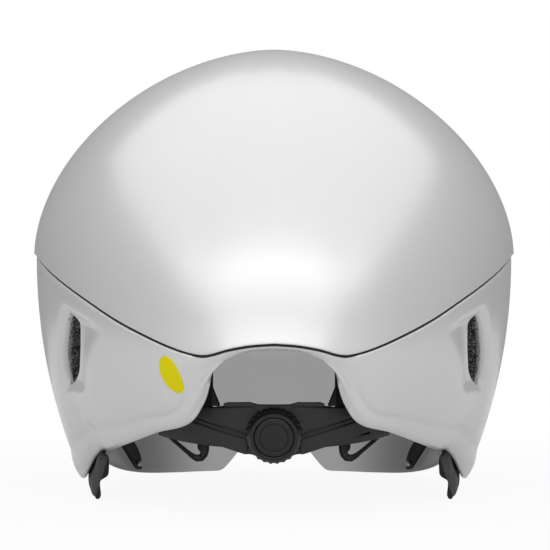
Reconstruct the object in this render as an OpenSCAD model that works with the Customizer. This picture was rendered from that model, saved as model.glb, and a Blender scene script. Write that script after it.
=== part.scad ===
// Aero time trial helmet, with a pull-off magnetic visor and a dial-adjusted rear cradle.
// X points to the wearer's right, Y forward, Z up. The origin is at the middle of the base.

/* [Outer shape] */
// Half of the helmet's width at its widest
half_w = 120.5; // [114:0.5:126]
// Length from the widest point back to the tail
tail_len = 150; // [144:1:158]
// Length from the widest point forward to the brow
brow_len = 134; // [128:1:137]
// Height of the crown's top
top_z = 223.6; // [216:0.4:232]
// Height of the line between the shells at the sides
seam_z = 120.3; // [116:0.1:124]
// How far that line drops towards the tail
seam_drop = 44; // [38:1:46]
// How far that line rises towards the brow
brow_rise = 7.7; // [4:0.1:10]
// Distance of the crown's top in front of the widest point
top_y = 5; // [0:1:12]
// Roundness of the crown seen from behind
crown_round = 1.8; // [1.75:0.05:2]

/* [Walls] */
// Wall of the crown shell
crown_wall = 2.2; // [1.6:0.1:2.6]
// Wall of the lower shell
lower_wall = 2; // [1.6:0.1:2.6]
// Wall of the visor lens
lens_wall = 2.2; // [1.8:0.1:2.6]
// How far the crown's lip stands out over the lower shell
lip_step = 1.2; // [0.8:0.1:1.6]
// Gap under the crown's lip
lip_gap = 0.6; // [0.4:0.1:1]
// Clearance between the foam and what it carries
seat_gap = 0.3; // [0.2:0.05:0.4]

/* [Head space] */
// Half width of the hollow in the foam, as a share of half_w
hollow_w_share = 0.6805; // [0.66:0.0005:0.695]
// Reach of the hollow to the front, as a share of brow_len
hollow_front_share = 0.7612; // [0.74:0.0002:0.775]
// Reach of the hollow to the back, as a share of tail_len
hollow_rear_share = 0.68; // [0.66:0.005:0.695]
// Height of the hollow's top, as a share of top_z
hollow_top_share = 0.8587; // [0.84:0.0001:0.875]
// Height up to which the hollow's wall stands upright
hollow_base = 105; // [100:1:110]
// Free play between the slip liner and the foam
slip_gap = 1.6; // [1.5:0.1:2]
// Wall of the slip liner
slip_wall = 1.2; // [0.8:0.1:1.6]
// Thickness of the comfort pads at their middle
pad_thick = 6; // [4:0.5:8]

/* [Cradle] */
// Height of the dial's centre
dial_z = 38.5; // [36:0.5:41]
// Distance of the cradle wall's back from the helmet's middle, as a share of tail_len
cradle_back_share = 0.8; // [0.78:0.005:0.81]
// Backward tilt of the dial
dial_tilt = 9; // [5:1:12]
// Outer radius of the curved cradle wall, as a share of half_w
cradle_r_share = 0.5975; // [0.58:0.0025:0.615]
// Wall of the cradle
cradle_wall = 2.7; // [2.2:0.1:3]
// Thickness of the toothed bands
band_thick = 1.8; // [1.4:0.1:2]
// Running clearance around the bands
band_gap = 0.4; // [0.3:0.05:0.5]
// Radius of the dial knob
knob_r = 13.1; // [12:0.1:14]
// Depth of the dial knob
knob_deep = 8.6; // [7:0.1:10]
// Number of ribs on the knob
knob_ribs = 26; // [16:1:32]
// Radius of the dial's shaft
shaft_r = 3; // [2.6:0.1:3.4]
// Radial clearance of the shaft in its bore
shaft_gap = 0.05; // [0.03:0.01:0.08]
// Number of teeth on the pinion
pinion_teeth = 8; // [8:1:8]
// Size of a tooth, the pitch diameter divided by the number of teeth
tooth_module = 1; // [0.9:0.05:1.05]
// Travel of the cradle on its two stems
stem_travel = 10; // [6:1:12]

/* [Straps] */
// Width of the webbing
web_w = 12; // [10:0.5:14]
// Thickness of the webbing
web_thick = 1.7; // [1.2:0.1:2]

/* [Hidden] */

round_fn = 64;
over = 1;
shell_white = "white";
foam_black = "#26272a";
plastic_black = "#2b2c2e";
pad_grey = "#3a3b3e";
web_black = "#1d1d1f";
steel = "silver";

// Curve through a table of [place, value] rows, with no overshoot at its ends.
function row_at(t, x, k = 0) = k >= len(t) - 2 || x <= t[k + 1][0] ? k : row_at(t, x, k + 1);
function slope_at(t, k) =
    k <= 0 ? (t[1][1] - t[0][1]) / (t[1][0] - t[0][0])
    : k >= len(t) - 1 ? (t[k][1] - t[k - 1][1]) / (t[k][0] - t[k - 1][0])
    : (t[k + 1][1] - t[k - 1][1]) / (t[k + 1][0] - t[k - 1][0]);
function hermite(a, b, m, n, w, h) =
    (2 * h * h * h - 3 * h * h + 1) * a + (h * h * h - 2 * h * h + h) * w * m
    + (3 * h * h - 2 * h * h * h) * b + (h * h * h - h * h) * w * n;
function curve(t, x) =
    let (q = min(max(x, t[0][0]), t[len(t) - 1][0]), k = row_at(t, q), w = t[k + 1][0] - t[k][0])
    hermite(t[k][1], t[k + 1][1], slope_at(t, k), slope_at(t, k + 1), w, (q - t[k][0]) / w);
function pick(t, c) = [for (row = t) [row[0], row[c]]];
function mix(a, b, t) = a + (b - a) * t;
function ease(t) = let (h = min(max(t, 0), 1)) h * h * (3 - 2 * h);
function unit(v) = v / max(norm(v), 1e-9);
function power(v, e) = sign(v) * pow(abs(v), e);
function flat(lists) = [for (l = lists) for (v = l) v];

// Height of the line between the shells, as shares of its drop, by the turn from side to tail.
seam_shares = [[0, 0], [0.12, 0], [0.26, 0.14], [0.44, 0.40], [0.585, 0.66], [0.71, 0.87],
               [0.78, 0.985], [0.815, 1], [0.85, 0.975], [0.88, 0.935], [0.94, 0.886], [1, 0.866]];
// The same drop without the arch at the tail, on which the crown's form is built.
dome_shares = [[0, 0], [0.12, 0], [0.26, 0.14], [0.44, 0.40], [0.585, 0.66], [0.71, 0.87],
               [0.80, 0.985], [0.88, 1], [1, 1]];
front_round = 2.25;
rear_round = 2;
front_crown_round = 2.1;

function turn(a) = asin(min(1, abs(sin(a)))) / 90;
function seam(a, shares) =
    sin(a) < 0 ? seam_z - seam_drop * curve(shares, turn(a)) : seam_z + brow_rise * ease(turn(a));
function plan(a, w, front, rear, n_front = front_round, n_rear = rear_round) =
    sin(a) >= 0 ? [w * power(cos(a), 2 / n_front), front * power(sin(a), 2 / n_front)]
    : [w * power(cos(a), 2 / n_rear), rear * power(sin(a), 2 / n_rear)];

// The flare of the crown's lip, strongest at the tail.
lip_flare = 2.2;
lip_band = 16;
flare_start_share = 0.35;
function dome_round(a) = sin(a) > 0 ? mix(crown_round, front_crown_round, ease(turn(a))) : crown_round;
function flare(a, rise) =
    sin(a) >= 0 ? 0
    : lip_flare * ease((turn(a) - flare_start_share) / (1 - flare_start_share))
        * pow(max(0, 1 - rise / lip_band), 2);
// A point of the crown's outside, at angle a and share f of the way from the lip to the top.
function dome_point(a, f) =
    let (low = seam(a, dome_shares), start = seam(a, seam_shares), n = dome_round(a),
         q0 = max(0, start - low) / (top_z - low), phi0 = asin(pow(q0, n / 2)),
         phi = mix(phi0, 90, f), z = low + (top_z - low) * pow(sin(phi), 2 / n),
         edge = plan(a, half_w, brow_len, tail_len), top = [0, top_y],
         p = top + (edge - top) * power(cos(phi), 2 / n),
         out = p + unit(edge - top) * flare(a, z - start))
    [out[0], out[1], z];
fine = 0.02;
function dome_normal(a, f) =
    f > 0.995 ? [0, 0, 1]
    : unit(cross(dome_point(a + 0.5, f) - dome_point(a - 0.5, f),
                 dome_point(a, min(1, f + fine)) - dome_point(a, max(0, f - fine))));
function dome_inset(a, f, d) = dome_point(a, f) - d * dome_normal(a, f);

// The rim of the lower shell from the tail's middle to the ear cover's front end, as
// [share of the way, angle of the seam above it, then shares of half_w, tail_len and seam_z].
rim_shares = [[0, -90, 0, -0.976, 0.652], [0.08, -84, 0.093, -0.974, 0.645],
              [0.15, -79, 0.165, -0.965, 0.622], [0.22, -74, 0.222, -0.948, 0.582],
              [0.29, -69, 0.256, -0.925, 0.528], [0.36, -64, 0.288, -0.885, 0.447],
              [0.43, -58, 0.345, -0.828, 0.355], [0.51, -50.5, 0.462, -0.722, 0.310],
              [0.59, -42, 0.575, -0.560, 0.256], [0.67, -33, 0.660, -0.400, 0.214],
              [0.74, -25, 0.714, -0.275, 0.195], [0.80, -18, 0.765, -0.200, 0.115],
              [0.86, -11, 0.792, -0.110, 0.070], [0.93, -1, 0.806, 0.030, 0.072],
              [1, 10.5, 0.815, 0.170, 0.110], [1.14, 25, 0.800, 0.360, 0.300]];
bulge_power = 2.1;
// The dished place round each exhaust opening; it leans forward towards its foot.
dish_deep = 3.6;
dish_place_shares = [0.665, 0.40];
dish_size_shares = [0.07, 0.26];
dish_lean = 0.19;
function seam_angle(s) = curve(pick(rim_shares, 1), s);
function rim_point(s) =
    [half_w * curve(pick(rim_shares, 2), s), tail_len * curve(pick(rim_shares, 3), s),
     seam_z * curve(pick(rim_shares, 4), s)];
// The lower shell's upper edge, stepped in below the crown's lip.
function edge_point(s) =
    let (a = seam_angle(s), p = dome_point(a, 0), out = unit([p[0], p[1], 0]))
    p - lip_step * out - [0, 0, lip_gap];
function dish(s, t) =
    let (v = (t - dish_place_shares[1]) / dish_size_shares[1],
         u = (s - dish_place_shares[0] - dish_lean * (t - dish_place_shares[1])) / dish_size_shares[0])
    dish_deep * exp(-u * u - v * v * v * v);
function low_form(s, t) =
    let (c = edge_point(s), b = rim_point(s), k = pow(t, bulge_power))
    [mix(c[0], b[0], k), mix(c[1], b[1], k), mix(c[2], b[2], t)];
function low_normal(s, t) =
    unit(cross(low_form(s + 0.01, t) - low_form(s - 0.01, t),
               low_form(s, max(0, t - fine)) - low_form(s, min(1, t + fine))));
function low_point(s, t) = low_form(s, t) - dish(s, t) * low_normal(s, t);
function low_inset(s, t, d) = low_form(s, t) - (dish(s, t) + d) * low_normal(s, t);

// Half width and front reach of the visor's outside by height, as shares.
lens_w_shares = [[0, 0.85], [0.25, 0.865], [0.42, 0.915], [0.54, 0.945], [0.67, 0.966], [0.79, 0.982],
                 [0.92, 0.992], [1.06, 0.992]];
lens_f_shares = [[0, 1.10], [0.25, 1.126], [0.5, 1.1358], [0.7, 1.114], [0.92, 1.05], [1.06, 1.002]];
// Height of the visor's lower edge by the turn from side to front, as shares of seam_z.
lens_low_shares = [[0.1, 0.235], [0.162, 0.2], [0.249, 0.145], [0.327, 0.092], [0.39, 0.055],
                   [0.46, 0.028], [0.56, 0.008], [0.7, 0], [0.83, 0], [0.855, 0.012], [0.9, 0.083],
                   [0.944, 0.175], [0.978, 0.24], [1, 0.255]];
lens_start = 11.6;
function lens_low(a) = seam_z * max(0, curve(lens_low_shares, turn(a)));
function lens_plan(a, z) =
    plan(a, half_w * curve(lens_w_shares, z / seam_z), brow_len * curve(lens_f_shares, z / seam_z),
         tail_len);
function lens_point(a, t) =
    let (high = seam(a, seam_shares) - lip_gap, z = mix(high, lens_low(a), t), p = lens_plan(a, z))
    [p[0], p[1], z];
function lens_normal(a, t) =
    unit(cross(lens_point(a + 0.5, t) - lens_point(a - 0.5, t),
               lens_point(a, max(0, t - fine)) - lens_point(a, min(1, t + fine))));
function lens_inset(a, t, d) = lens_point(a, t) - d * lens_normal(a, t);
// The share down the visor at which a height lies.
function lens_share(a, z) =
    let (high = seam(a, seam_shares) - lip_gap)
    (high - z) / (high - lens_low(a));

// The hollow for the head, drawn in by d, at angle a and height z.
hollow_w = hollow_w_share * half_w;
hollow_front = hollow_front_share * brow_len;
hollow_rear = hollow_rear_share * tail_len;
hollow_top = hollow_top_share * top_z;
hollow_round = 2.1;
// A height between the hollow's base and its top.
function hollow_z(share) = mix(hollow_base, hollow_top, share);
function hollow_rho(z, d) =
    z <= hollow_base ? 1
    : pow(max(0, 1 - pow((z - hollow_base) / (hollow_top - d - hollow_base), hollow_round)),
          1 / hollow_round);
function hollow_plan(a, d) =
    plan(a, hollow_w - d, hollow_front - d, hollow_rear - d, rear_round, rear_round);
function hollow_point(a, z, d) =
    let (p = hollow_plan(a, d) * hollow_rho(z, d))
    [p[0], p[1], z];
function hollow_height(start, d, f) =
    let (q0 = max(0, start - hollow_base) / (hollow_top - d - hollow_base),
         phi0 = asin(pow(q0, hollow_round / 2)), phi = mix(phi0, 90, f))
    hollow_base + (hollow_top - d - hollow_base) * pow(sin(phi), 2 / hollow_round);

// Two faces of a grid of points, and the closed solid between two such grids.
function quad(a, b, c, d) = [[a, b, c], [a, c, d]];
function sheet_faces(rows, cols, from, wrap, turned) =
    flat([for (i = [0:rows - 2]) for (j = [0:cols - (wrap ? 1 : 2)])
        let (a = from + i * cols + j, b = from + i * cols + (j + 1) % cols, c = b + cols, d = a + cols)
        turned ? quad(a, d, c, b) : quad(a, b, c, d)]);
function strip_faces(list_a, list_b) =
    flat([for (k = [0:len(list_a) - 2]) quad(list_a[k], list_b[k], list_b[k + 1], list_a[k + 1])]);
// A patch with thickness: the outer and inner grids have the same rows and columns.
module slab(outer, inner) {
    rows = len(outer);
    cols = len(outer[0]);
    n = rows * cols;
    bottom = [for (j = [0:cols - 1]) j];
    top = [for (j = [0:cols - 1]) (rows - 1) * cols + j];
    first = [for (i = [0:rows - 1]) i * cols];
    last = [for (i = [0:rows - 1]) i * cols + cols - 1];
    polyhedron(
        points = concat(flat(outer), flat(inner)),
        faces = concat(
            sheet_faces(rows, cols, 0, false, false),
            sheet_faces(rows, cols, n, false, true),
            strip_faces(bottom, [for (k = bottom) k + n]),
            strip_faces([for (k = top) k + n], top),
            strip_faces([for (k = first) k + n], first),
            strip_faces(last, [for (k = last) k + n])));
}
// A closed bowl: two grids of rings, each closed at its top by one point.
module bowl(outer, inner, outer_top, inner_top) {
    rows = len(outer);
    cols = len(outer[0]);
    n = rows * cols;
    ring = [for (j = [0:cols]) j % cols];
    polyhedron(
        points = concat(flat(outer), flat(inner), [outer_top, inner_top]),
        faces = concat(
            sheet_faces(rows, cols, 0, true, true),
            sheet_faces(rows, cols, n, true, false),
            strip_faces([for (k = ring) k + n], ring),
            [for (j = [0:cols - 1]) [n - cols + j, 2 * n, n - cols + (j + 1) % cols]],
            [for (j = [0:cols - 1]) [2 * n - cols + j, 2 * n - cols + (j + 1) % cols, 2 * n + 1]]));
}
// A solid through a row of closed loops, each with the same number of points.
module skin(loops) {
    rows = len(loops);
    cols = len(loops[0]);
    n = rows * cols;
    polyhedron(
        points = flat(loops),
        faces = concat(
            sheet_faces(rows, cols, 0, true, false),
            [for (j = [1:cols - 2]) [0, j + 1, j]],
            [for (j = [1:cols - 2]) [n - cols, n - cols + j, n - cols + j + 1]]));
}
module both_sides() {
    children();
    mirror([1, 0, 0]) children();
}

// Crown shell, with the intake slot over the brow
crown_cols = 48;
crown_rows = 11;
pole_share = 0.94;
row_power = 1.15;
intake_w = 66;
intake_h = 9;
intake_share = 0.2681;
intake_z = mix(seam_z, top_z, intake_share);
intake_wall = 2;
intake_round = 3.5;
function crown_angle(j) = 360 * j / crown_cols;
function crown_share(i) = pole_share * pow(i / crown_rows, row_power);
// The wall's inner face; its lowest row is level with the lip.
function crown_inner(a, i) =
    let (p = dome_inset(a, crown_share(i), crown_wall))
    i > 0 ? p : [p[0], p[1], dome_point(a, 0)[2]];
module slot_bar(w, h, deep, round_r) {
    rotate([90, 0, 0])
        linear_extrude(deep, center = true)
            union() {
                square([w - 2 * round_r, h], center = true);
                square([w, h - 2 * round_r], center = true);
                for (sx = [-1, 1], sy = [-1, 1])
                    translate([sx * (w / 2 - round_r), sy * (h / 2 - round_r)])
                        circle(round_r, $fn = round_fn);
            }
}
module crown_shell() {
    color(shell_white)
        difference() {
            bowl([for (i = [0:crown_rows]) [for (j = [0:crown_cols - 1])
                     dome_point(crown_angle(j), crown_share(i))]],
                 [for (i = [0:crown_rows]) [for (j = [0:crown_cols - 1]) crown_inner(crown_angle(j), i)]],
                 [0, top_y, top_z], [0, top_y, top_z - crown_wall]);
            translate([0, brow_len, intake_z]) slot_bar(intake_w, intake_h, brow_len, intake_round);
        }
}

// Lower shell, with an exhaust opening on each side
low_cols = 66;
low_rows = 10;
vent_spot_shares = [0.69, 0.385];
// Outline of the opening as shares of its width and height, rear edge first, each towards the front and up.
vent_w = 38;
vent_h = 38;
vent_outline_shares = [[-0.305, 0.45], [-0.415, 0.39], [-0.48, 0.30], [-0.266, 0.047], [-0.113, -0.15],
                       [0.02, -0.29], [0.24, -0.42], [0.46, -0.5], [0.5, -0.44], [0.48, -0.35],
                       [0.37, -0.10], [0.176, 0.134], [-0.08, 0.36], [-0.2, 0.44]];
vent_reach = 20;
function vent_spot() = low_form(vent_spot_shares[0], vent_spot_shares[1]);
function heading(v) = atan2(v[1], v[0]);
module vent_tool(grow, deep) {
    n = low_normal(vent_spot_shares[0], vent_spot_shares[1]);
    translate(vent_spot())
        rotate([0, 0, heading(n)])
            rotate([90, 0, 90])
                translate([0, 0, -deep])
                    linear_extrude(deep + vent_reach)
                        polygon([for (p = vent_outline_shares)
                            [p[0] * (vent_w + 2 * grow), p[1] * (vent_h + 2 * grow)]]);
}
function low_step(j) = 2 * j / low_cols - 1;
function side_point(s, t) =
    let (p = low_point(abs(s), t))
    [sign(s) * p[0], p[1], p[2]];
function side_inset(s, t, d) =
    let (p = low_inset(abs(s), t, d))
    [sign(s) * p[0], p[1], p[2]];
module lower_shell() {
    color(shell_white)
        difference() {
            slab([for (i = [0:low_rows]) [for (j = [0:low_cols]) side_point(low_step(j), i / low_rows)]],
                 [for (i = [0:low_rows]) [for (j = [0:low_cols])
                     side_inset(low_step(j), i / low_rows, lower_wall)]]);
            both_sides() vent_tool(0, vent_reach);
        }
}

// Foam under the crown; its outer face keeps the shell's rows and columns
foam_rows = crown_rows + 1;
brow_skirt = 15;
skirt_from = 29;
skirt_to = 42;
foam_rise = 0.6;
function foam_low(a) =
    let (t = sin(a) > 0 ? asin(min(1, abs(sin(a)))) : 0)
    seam(a, seam_shares) + foam_rise
        - (brow_skirt + foam_rise) * ease((t - skirt_from) / (skirt_to - skirt_from));
function foam_outer(a, i) =
    i == 0 ? let (p = dome_inset(a, 0, crown_wall + lip_step + seat_gap)) [p[0], p[1], foam_low(a)]
    : i == 1 ? let (p = dome_inset(a, 0, crown_wall + seat_gap))
        [p[0], p[1], max(p[2], dome_point(a, 0)[2]) + foam_rise + seat_gap]
    : dome_inset(a, crown_share(i - 1), crown_wall + seat_gap);
function foam_inner(a, i) =
    i == 0 ? hollow_point(a, foam_low(a), 0)
    : hollow_point(a, hollow_height(foam_low(a) + over, 0, pole_share * (i - 1) / (foam_rows - 1)), 0);
socket_w = 13;
socket_wall = 1.6;
socket_h = 36;
socket_roof = 1;
socket_low = 85.5;
stem_turn = 27.8;
stem_w = 8;
stem_thick = 2.2;
stem_foot = 45.2;
stem_lean = 0.5;
module stem_frame() {
    stand = cradle_r - cradle_wall / 2;
    arc_y = cradle_r * cos(dial_tilt) - cradle_y;
    translate([stand * sin(stem_turn), arc_y - stand * cos(stem_turn) - stem_lean, 0])
        rotate([0, 0, stem_turn])
            children();
}
module crown_foam() {
    color(foam_black)
        difference() {
            bowl([for (i = [0:foam_rows]) [for (j = [0:crown_cols - 1]) foam_outer(crown_angle(j), i)]],
                 [for (i = [0:foam_rows]) [for (j = [0:crown_cols - 1]) foam_inner(crown_angle(j), i)]],
                 [0, top_y, top_z - crown_wall - seat_gap], [0, 0, hollow_top]);
            translate([0, brow_len, intake_z])
                slot_bar(intake_w + 2 * seat_gap, intake_h + 2 * seat_gap, 2 * brow_len,
                         intake_round + seat_gap);
            both_sides() {
                stem_frame() socket_block(seat_gap);
                rear_anchor(seat_gap);
            }
        }
}
// A socket's outside; grown, it is the pocket for it, open below.
module socket_block(grow) {
    w = socket_w + 2 * grow;
    d = stem_thick + 2 * (socket_wall + seat_gap) + 2 * grow;
    drop = grow > 0 ? socket_h / 2 : 0;
    translate([-w / 2, -d / 2, socket_low - drop]) cube([w, d, socket_h + grow + drop]);
}

// Foam inside the lower shell's sides
side_cols = 26;
side_rows = 8;
side_from = 0.46;
side_to = 1.14;
side_end_share = 0.95;
lens_seat = 6.4;
side_thick = 37;
side_thick_shares = [[0, 1], [0.18, 0.95], [0.34, 0.62], [0.5, 0.30], [0.7, 0.2], [1, 0.17]];
function side_s(j) = mix(side_from, side_to, j / side_cols);
function side_t(i) = side_end_share * i / side_rows;
step_share = [0.985, 0.03];
vent_foam_step = 0.6;
vent_foam_deep = 11.5;
function side_depth(s) =
    mix(lower_wall + seat_gap, lens_seat, ease((s - step_share[0]) / step_share[1]));
function side_outer(s, t) = low_inset(s, t, side_depth(s));
function side_inner(s, t) =
    let (p = side_outer(s, t), c = hollow_plan(seam_angle(s), 0), v = [c[0] - p[0], c[1] - p[1]],
         d = min(norm(v), side_thick) * curve(side_thick_shares, t), m = unit(v) * d)
    [p[0] + m[0], p[1] + m[1], p[2]];
module side_foam() {
    difference() {
        slab([for (i = [0:side_rows]) [for (j = [0:side_cols]) side_outer(side_s(j), side_t(i))]],
             [for (i = [0:side_rows]) [for (j = [0:side_cols]) side_inner(side_s(j), side_t(i))]]);
        vent_tool(-vent_foam_step, vent_foam_deep);
        front_anchor(seat_gap);
        temple_frame()
            translate([0, 0, magnet_low - seat_gap])
                cylinder(r = magnet_r + seat_gap, h = 4 * magnet_thick, $fn = round_fn);
    }
}
module side_foam_right() {
    color(foam_black) side_foam();
}
module side_foam_left() {
    color(foam_black) mirror([1, 0, 0]) side_foam();
}

// Rubber seal between the brow's foam and the visor's upper edge
seal_span = 45;
seal_cols = 12;
seal_high = 0.5;
seal_low = 10;
function seal_front(a, z) =
    let (p = lens_plan(a, z), q = p - unit(p) * (lens_wall + 2 * seat_gap))
    [q[0], q[1], z];
function seal_back(a, z) =
    let (low = foam_outer(a, 0), high = foam_outer(a, 1),
         p = mix(high, low, (high[2] - z) / (high[2] - low[2])), q = p + seat_gap * unit([p[0], p[1], 0]))
    [q[0], q[1], z];
module brow_seal() {
    function a(j) = 90 - seal_span + 2 * seal_span * j / seal_cols;
    function z(j, k) = seam(a(j), seam_shares) - lip_gap - k;
    color(plastic_black)
        slab([for (k = [seal_high, seal_low]) [for (j = [0:seal_cols]) seal_front(a(j), z(j, k))]],
             [for (k = [seal_high, seal_low]) [for (j = [0:seal_cols]) seal_back(a(j), z(j, k))]]);
}

// Grille in the intake slot, its face following the crown
grille_bars = 7;
grille_bar_w = 1.6;
grille_deep = 9;
grille_proud = 0.3;
grille_turn = 27;
grille_share = [0.02, 0.24];
grille_rows = 4;
grille_cols = 12;
module crown_patch(out, deep) {
    function at(i, j, d) =
        dome_inset(90 + grille_turn * (2 * j / grille_cols - 1),
                   mix(grille_share[1], grille_share[0], i / grille_rows), d);
    slab([for (i = [0:grille_rows]) [for (j = [0:grille_cols]) at(i, j, -out)]],
         [for (i = [0:grille_rows]) [for (j = [0:grille_cols]) at(i, j, deep)]]);
}
module intake_grille() {
    inner_w = intake_w - 2 * intake_wall;
    inner_h = intake_h - 2 * intake_wall;
    color(plastic_black)
        intersection() {
            translate([0, brow_len, intake_z])
                union() {
                    difference() {
                        slot_bar(intake_w - 2 * seat_gap, intake_h - 2 * seat_gap, brow_len,
                                 intake_round - seat_gap);
                        slot_bar(inner_w, inner_h, brow_len + over, intake_round - intake_wall);
                    }
                    for (k = [1:grille_bars])
                        translate([intake_w * (k / (grille_bars + 1) - 0.5), 0, 0])
                            cube([grille_bar_w, brow_len, inner_h + over], center = true);
                }
            crown_patch(grille_proud, grille_deep);
        }
}

// Blank label on the left of the lower shell
label_s = [0.33, 0.405];
label_t = [0.28, 0.82];
label_thick = 0.4;
label_lift = 0.05;
label_cols = 8;
label_rows = 8;
module label_plate() {
    function at(i, j, d) =
        side_inset(-mix(label_s[1], label_s[0], j / label_cols),
                   mix(label_t[0], label_t[1], i / label_rows), d);
    color("gold")
        slab([for (i = [0:label_rows]) [for (j = [0:label_cols]) at(i, j, -label_lift - label_thick)]],
             [for (i = [0:label_rows]) [for (j = [0:label_cols]) at(i, j, -label_lift)]]);
}

// Soft flap inside the rear of each ear cover
flap_from = -38;
flap_to = 6;
flap_steps = 11;
// Profile seen from behind, as shares of half_w and seam_z.
flap_shares = [[0.7090, 0.2037], [0.7250, 0.1700], [0.7350, 0.1313], [0.7470, 0.0939], [0.7475, 0.0500],
               [0.7400, 0.0220], [0.7310, 0], [0.7200, 0], [0.7115, 0.0170], [0.7150, 0.0520],
               [0.7100, 0.0840], [0.6980, 0.1150], [0.6980, 0.1700], [0.7060, 0.1880]];
flap_spread = 3.2;
function flap_end(h) = h < 0.5 ? 1 : 1 - 0.55 * pow(2 * h - 1, 2.4);
module ear_flap() {
    skin([for (k = [0:flap_steps])
        let (h = k / flap_steps, y = mix(flap_from, flap_to, h), out = flap_spread * ease(h * 1.4),
             high = flap_shares[0][1])
        [for (m = [len(flap_shares) - 1:-1:0]) let (p = flap_shares[m])
            [half_w * p[0] + out, y, seam_z * (high - (high - p[1]) * flap_end(h))]]]);
}
module ear_flap_right() {
    color("dimgray") ear_flap();
}
module ear_flap_left() {
    color("dimgray") mirror([1, 0, 0]) ear_flap();
}

// Magnets: one in the brow's foam and one at each temple, and their partners on the visor
magnet_r = 4.5;
magnet_thick = 2.4;
temple_a = 16;
temple_z = 64;
arm_thick = 3;
module temple_frame() {
    t = lens_share(temple_a, temple_z);
    p = lens_inset(temple_a, t, lens_wall + seat_gap / 2);
    n = lens_normal(temple_a, t);
    translate(p)
        rotate([0, 0, heading(n)])
            rotate([0, 90 - asin(n[2]), 0])
                children();
}
module magnet(low) {
    translate([0, 0, low]) cylinder(r = magnet_r, h = magnet_thick, $fn = round_fn);
}
magnet_low = -arm_thick - magnet_thick - 5 * seat_gap;
magnet_floor = 0.5;
module helmet_magnets() {
    color(steel) both_sides() temple_frame() magnet(magnet_low);
}
module visor_magnets() {
    color(steel) both_sides() temple_frame() magnet(magnet_floor / 2 - arm_thick);
}

// Arm on the visor's inside, from its lower edge back to the temple magnet
arm_cols = 16;
arm_low_a = 46;
arm_low_z = 5.5;
arm_half = 5.4;
arm_end_half = 8.3;
arm_end_a = 3.2;
arm_end_z = 3;
arm_foot = 1.2;
arm_bend = 0.92;
arm_rows = [-1, -0.4, 0.3, 1];
function arm_at(u) =
    [mix(arm_low_a, temple_a - arm_end_a, u), mix(arm_low_z, temple_z + arm_end_z, pow(u, arm_bend))];
function arm_half_at(u) =
    mix(arm_half, arm_end_half, ease((u - 0.7) / 0.2))
        * sqrt(max(0.05, 1 - pow(max(0, abs(2 * u - 1) - 0.86) / 0.15, 2)));
module magnet_arm() {
    function row(v, d) =
        [for (j = [0:arm_cols])
            let (u = j / arm_cols, c = arm_at(u), z = max(arm_foot, c[1] + v * arm_half_at(u)))
            lens_inset(c[0], lens_share(c[0], z), d)];
    difference() {
        slab([for (v = arm_rows) row(v, lens_wall + seat_gap)],
             [for (v = arm_rows) row(v, lens_wall + arm_thick)]);
        temple_frame()
            translate([0, 0, -arm_thick - over])
                cylinder(r = magnet_r + seat_gap / 2, h = magnet_thick + over + magnet_floor, $fn = round_fn);
    }
}
module magnet_arm_right() {
    color(plastic_black) magnet_arm();
}
module magnet_arm_left() {
    color(plastic_black) mirror([1, 0, 0]) magnet_arm();
}
arm_screw_r = 1.6;
arm_screw_thick = 0.9;
arm_screw_a = 44.5;
arm_screw_z = 6.5;
module arm_screws() {
    t = lens_share(arm_screw_a, arm_screw_z);
    n = lens_normal(arm_screw_a, t);
    color(steel)
        both_sides()
            translate(lens_inset(arm_screw_a, t, lens_wall + arm_thick + arm_screw_thick + seat_gap / 2))
                rotate([0, 0, heading(n)])
                    rotate([0, 90 - asin(n[2]), 0])
                        cylinder(r = arm_screw_r, h = arm_screw_thick, $fn = round_fn);
}

// Visor lens
lens_cols = 44;
lens_rows = 9;
nose_share = 0.55;
module visor_lens() {
    // Columns stand closer together at the nose.
    function a(j) =
        let (u = 2 * j / lens_cols - 1)
        90 + (90 - lens_start) * (nose_share * u + (1 - nose_share) * u * abs(u));
    color("gray", 0.7)
        slab([for (i = [0:lens_rows]) [for (j = [0:lens_cols]) lens_point(a(j), i / lens_rows)]],
             [for (i = [0:lens_rows]) [for (j = [0:lens_cols])
                 lens_inset(a(j), i / lens_rows, lens_wall)]]);
}

// Sockets for the cradle's stems
module height_sockets() {
    slot = [stem_w + 2 * seat_gap, stem_thick + 2 * seat_gap, socket_h + over - socket_roof];
    color(plastic_black)
        both_sides()
            stem_frame()
                difference() {
                    socket_block(0);
                    translate([-slot[0] / 2, -slot[1] / 2, socket_low - over]) cube(slot);
                }
}

// Low friction liner, held in the foam's hollow by soft anchors in large holes
liner_cols = 40;
liner_rows = 8;
liner_side_z = 97;
liner_front_share = 0.161;
liner_front_z = hollow_z(liner_front_share);
anchor_hole_r = 7.2;
anchor_pin_r = 1.6;
anchor_cap_r = 8.6;
anchor_cap_thick = 1.2;
anchor_play = 1.5;
probe = 1;
air_hole_share = 0.724;
air_hole_z = hollow_z(air_hole_share);
anchor_lift = 12;
anchor_z = intake_z + anchor_lift;
air_hole_r = 7;
function liner_low(a) = mix(liner_side_z, liner_front_z, ease((sin(a) - 0.55) / 0.35));
function liner_inset(a, f, d) =
    hollow_point(a, hollow_height(max(hollow_base, liner_low(a)), d, f), d);
function liner_row(i, d) =
    [for (j = [0:liner_cols - 1])
        let (a = 360 * j / liner_cols)
        i == 0 ? hollow_point(a, liner_low(a), d)
        : liner_inset(a, mix(fine, pole_share, (i - 1) / (liner_rows - 1)), d)];
function spot(a, z, d) = hollow_point(a, z, d);
function spot_normal(a, z) =
    unit(cross(spot(a + 1, z, 0) - spot(a - 1, z, 0), spot(a, z + probe, 0) - spot(a, z - probe, 0)));
module at_spot(a, z, d) {
    n = spot_normal(a, z);
    translate(spot(a, z, d))
        rotate([0, 0, heading(n)])
            rotate([0, 90 - asin(n[2]), 0])
                children();
}
anchor_turns = [0, 90, 180, 270];
air_hole_turns = [25, 155, 205, 335];
module spots(turns, z) {
    for (a = turns) at_spot(a, z, 0) children();
}
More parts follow.
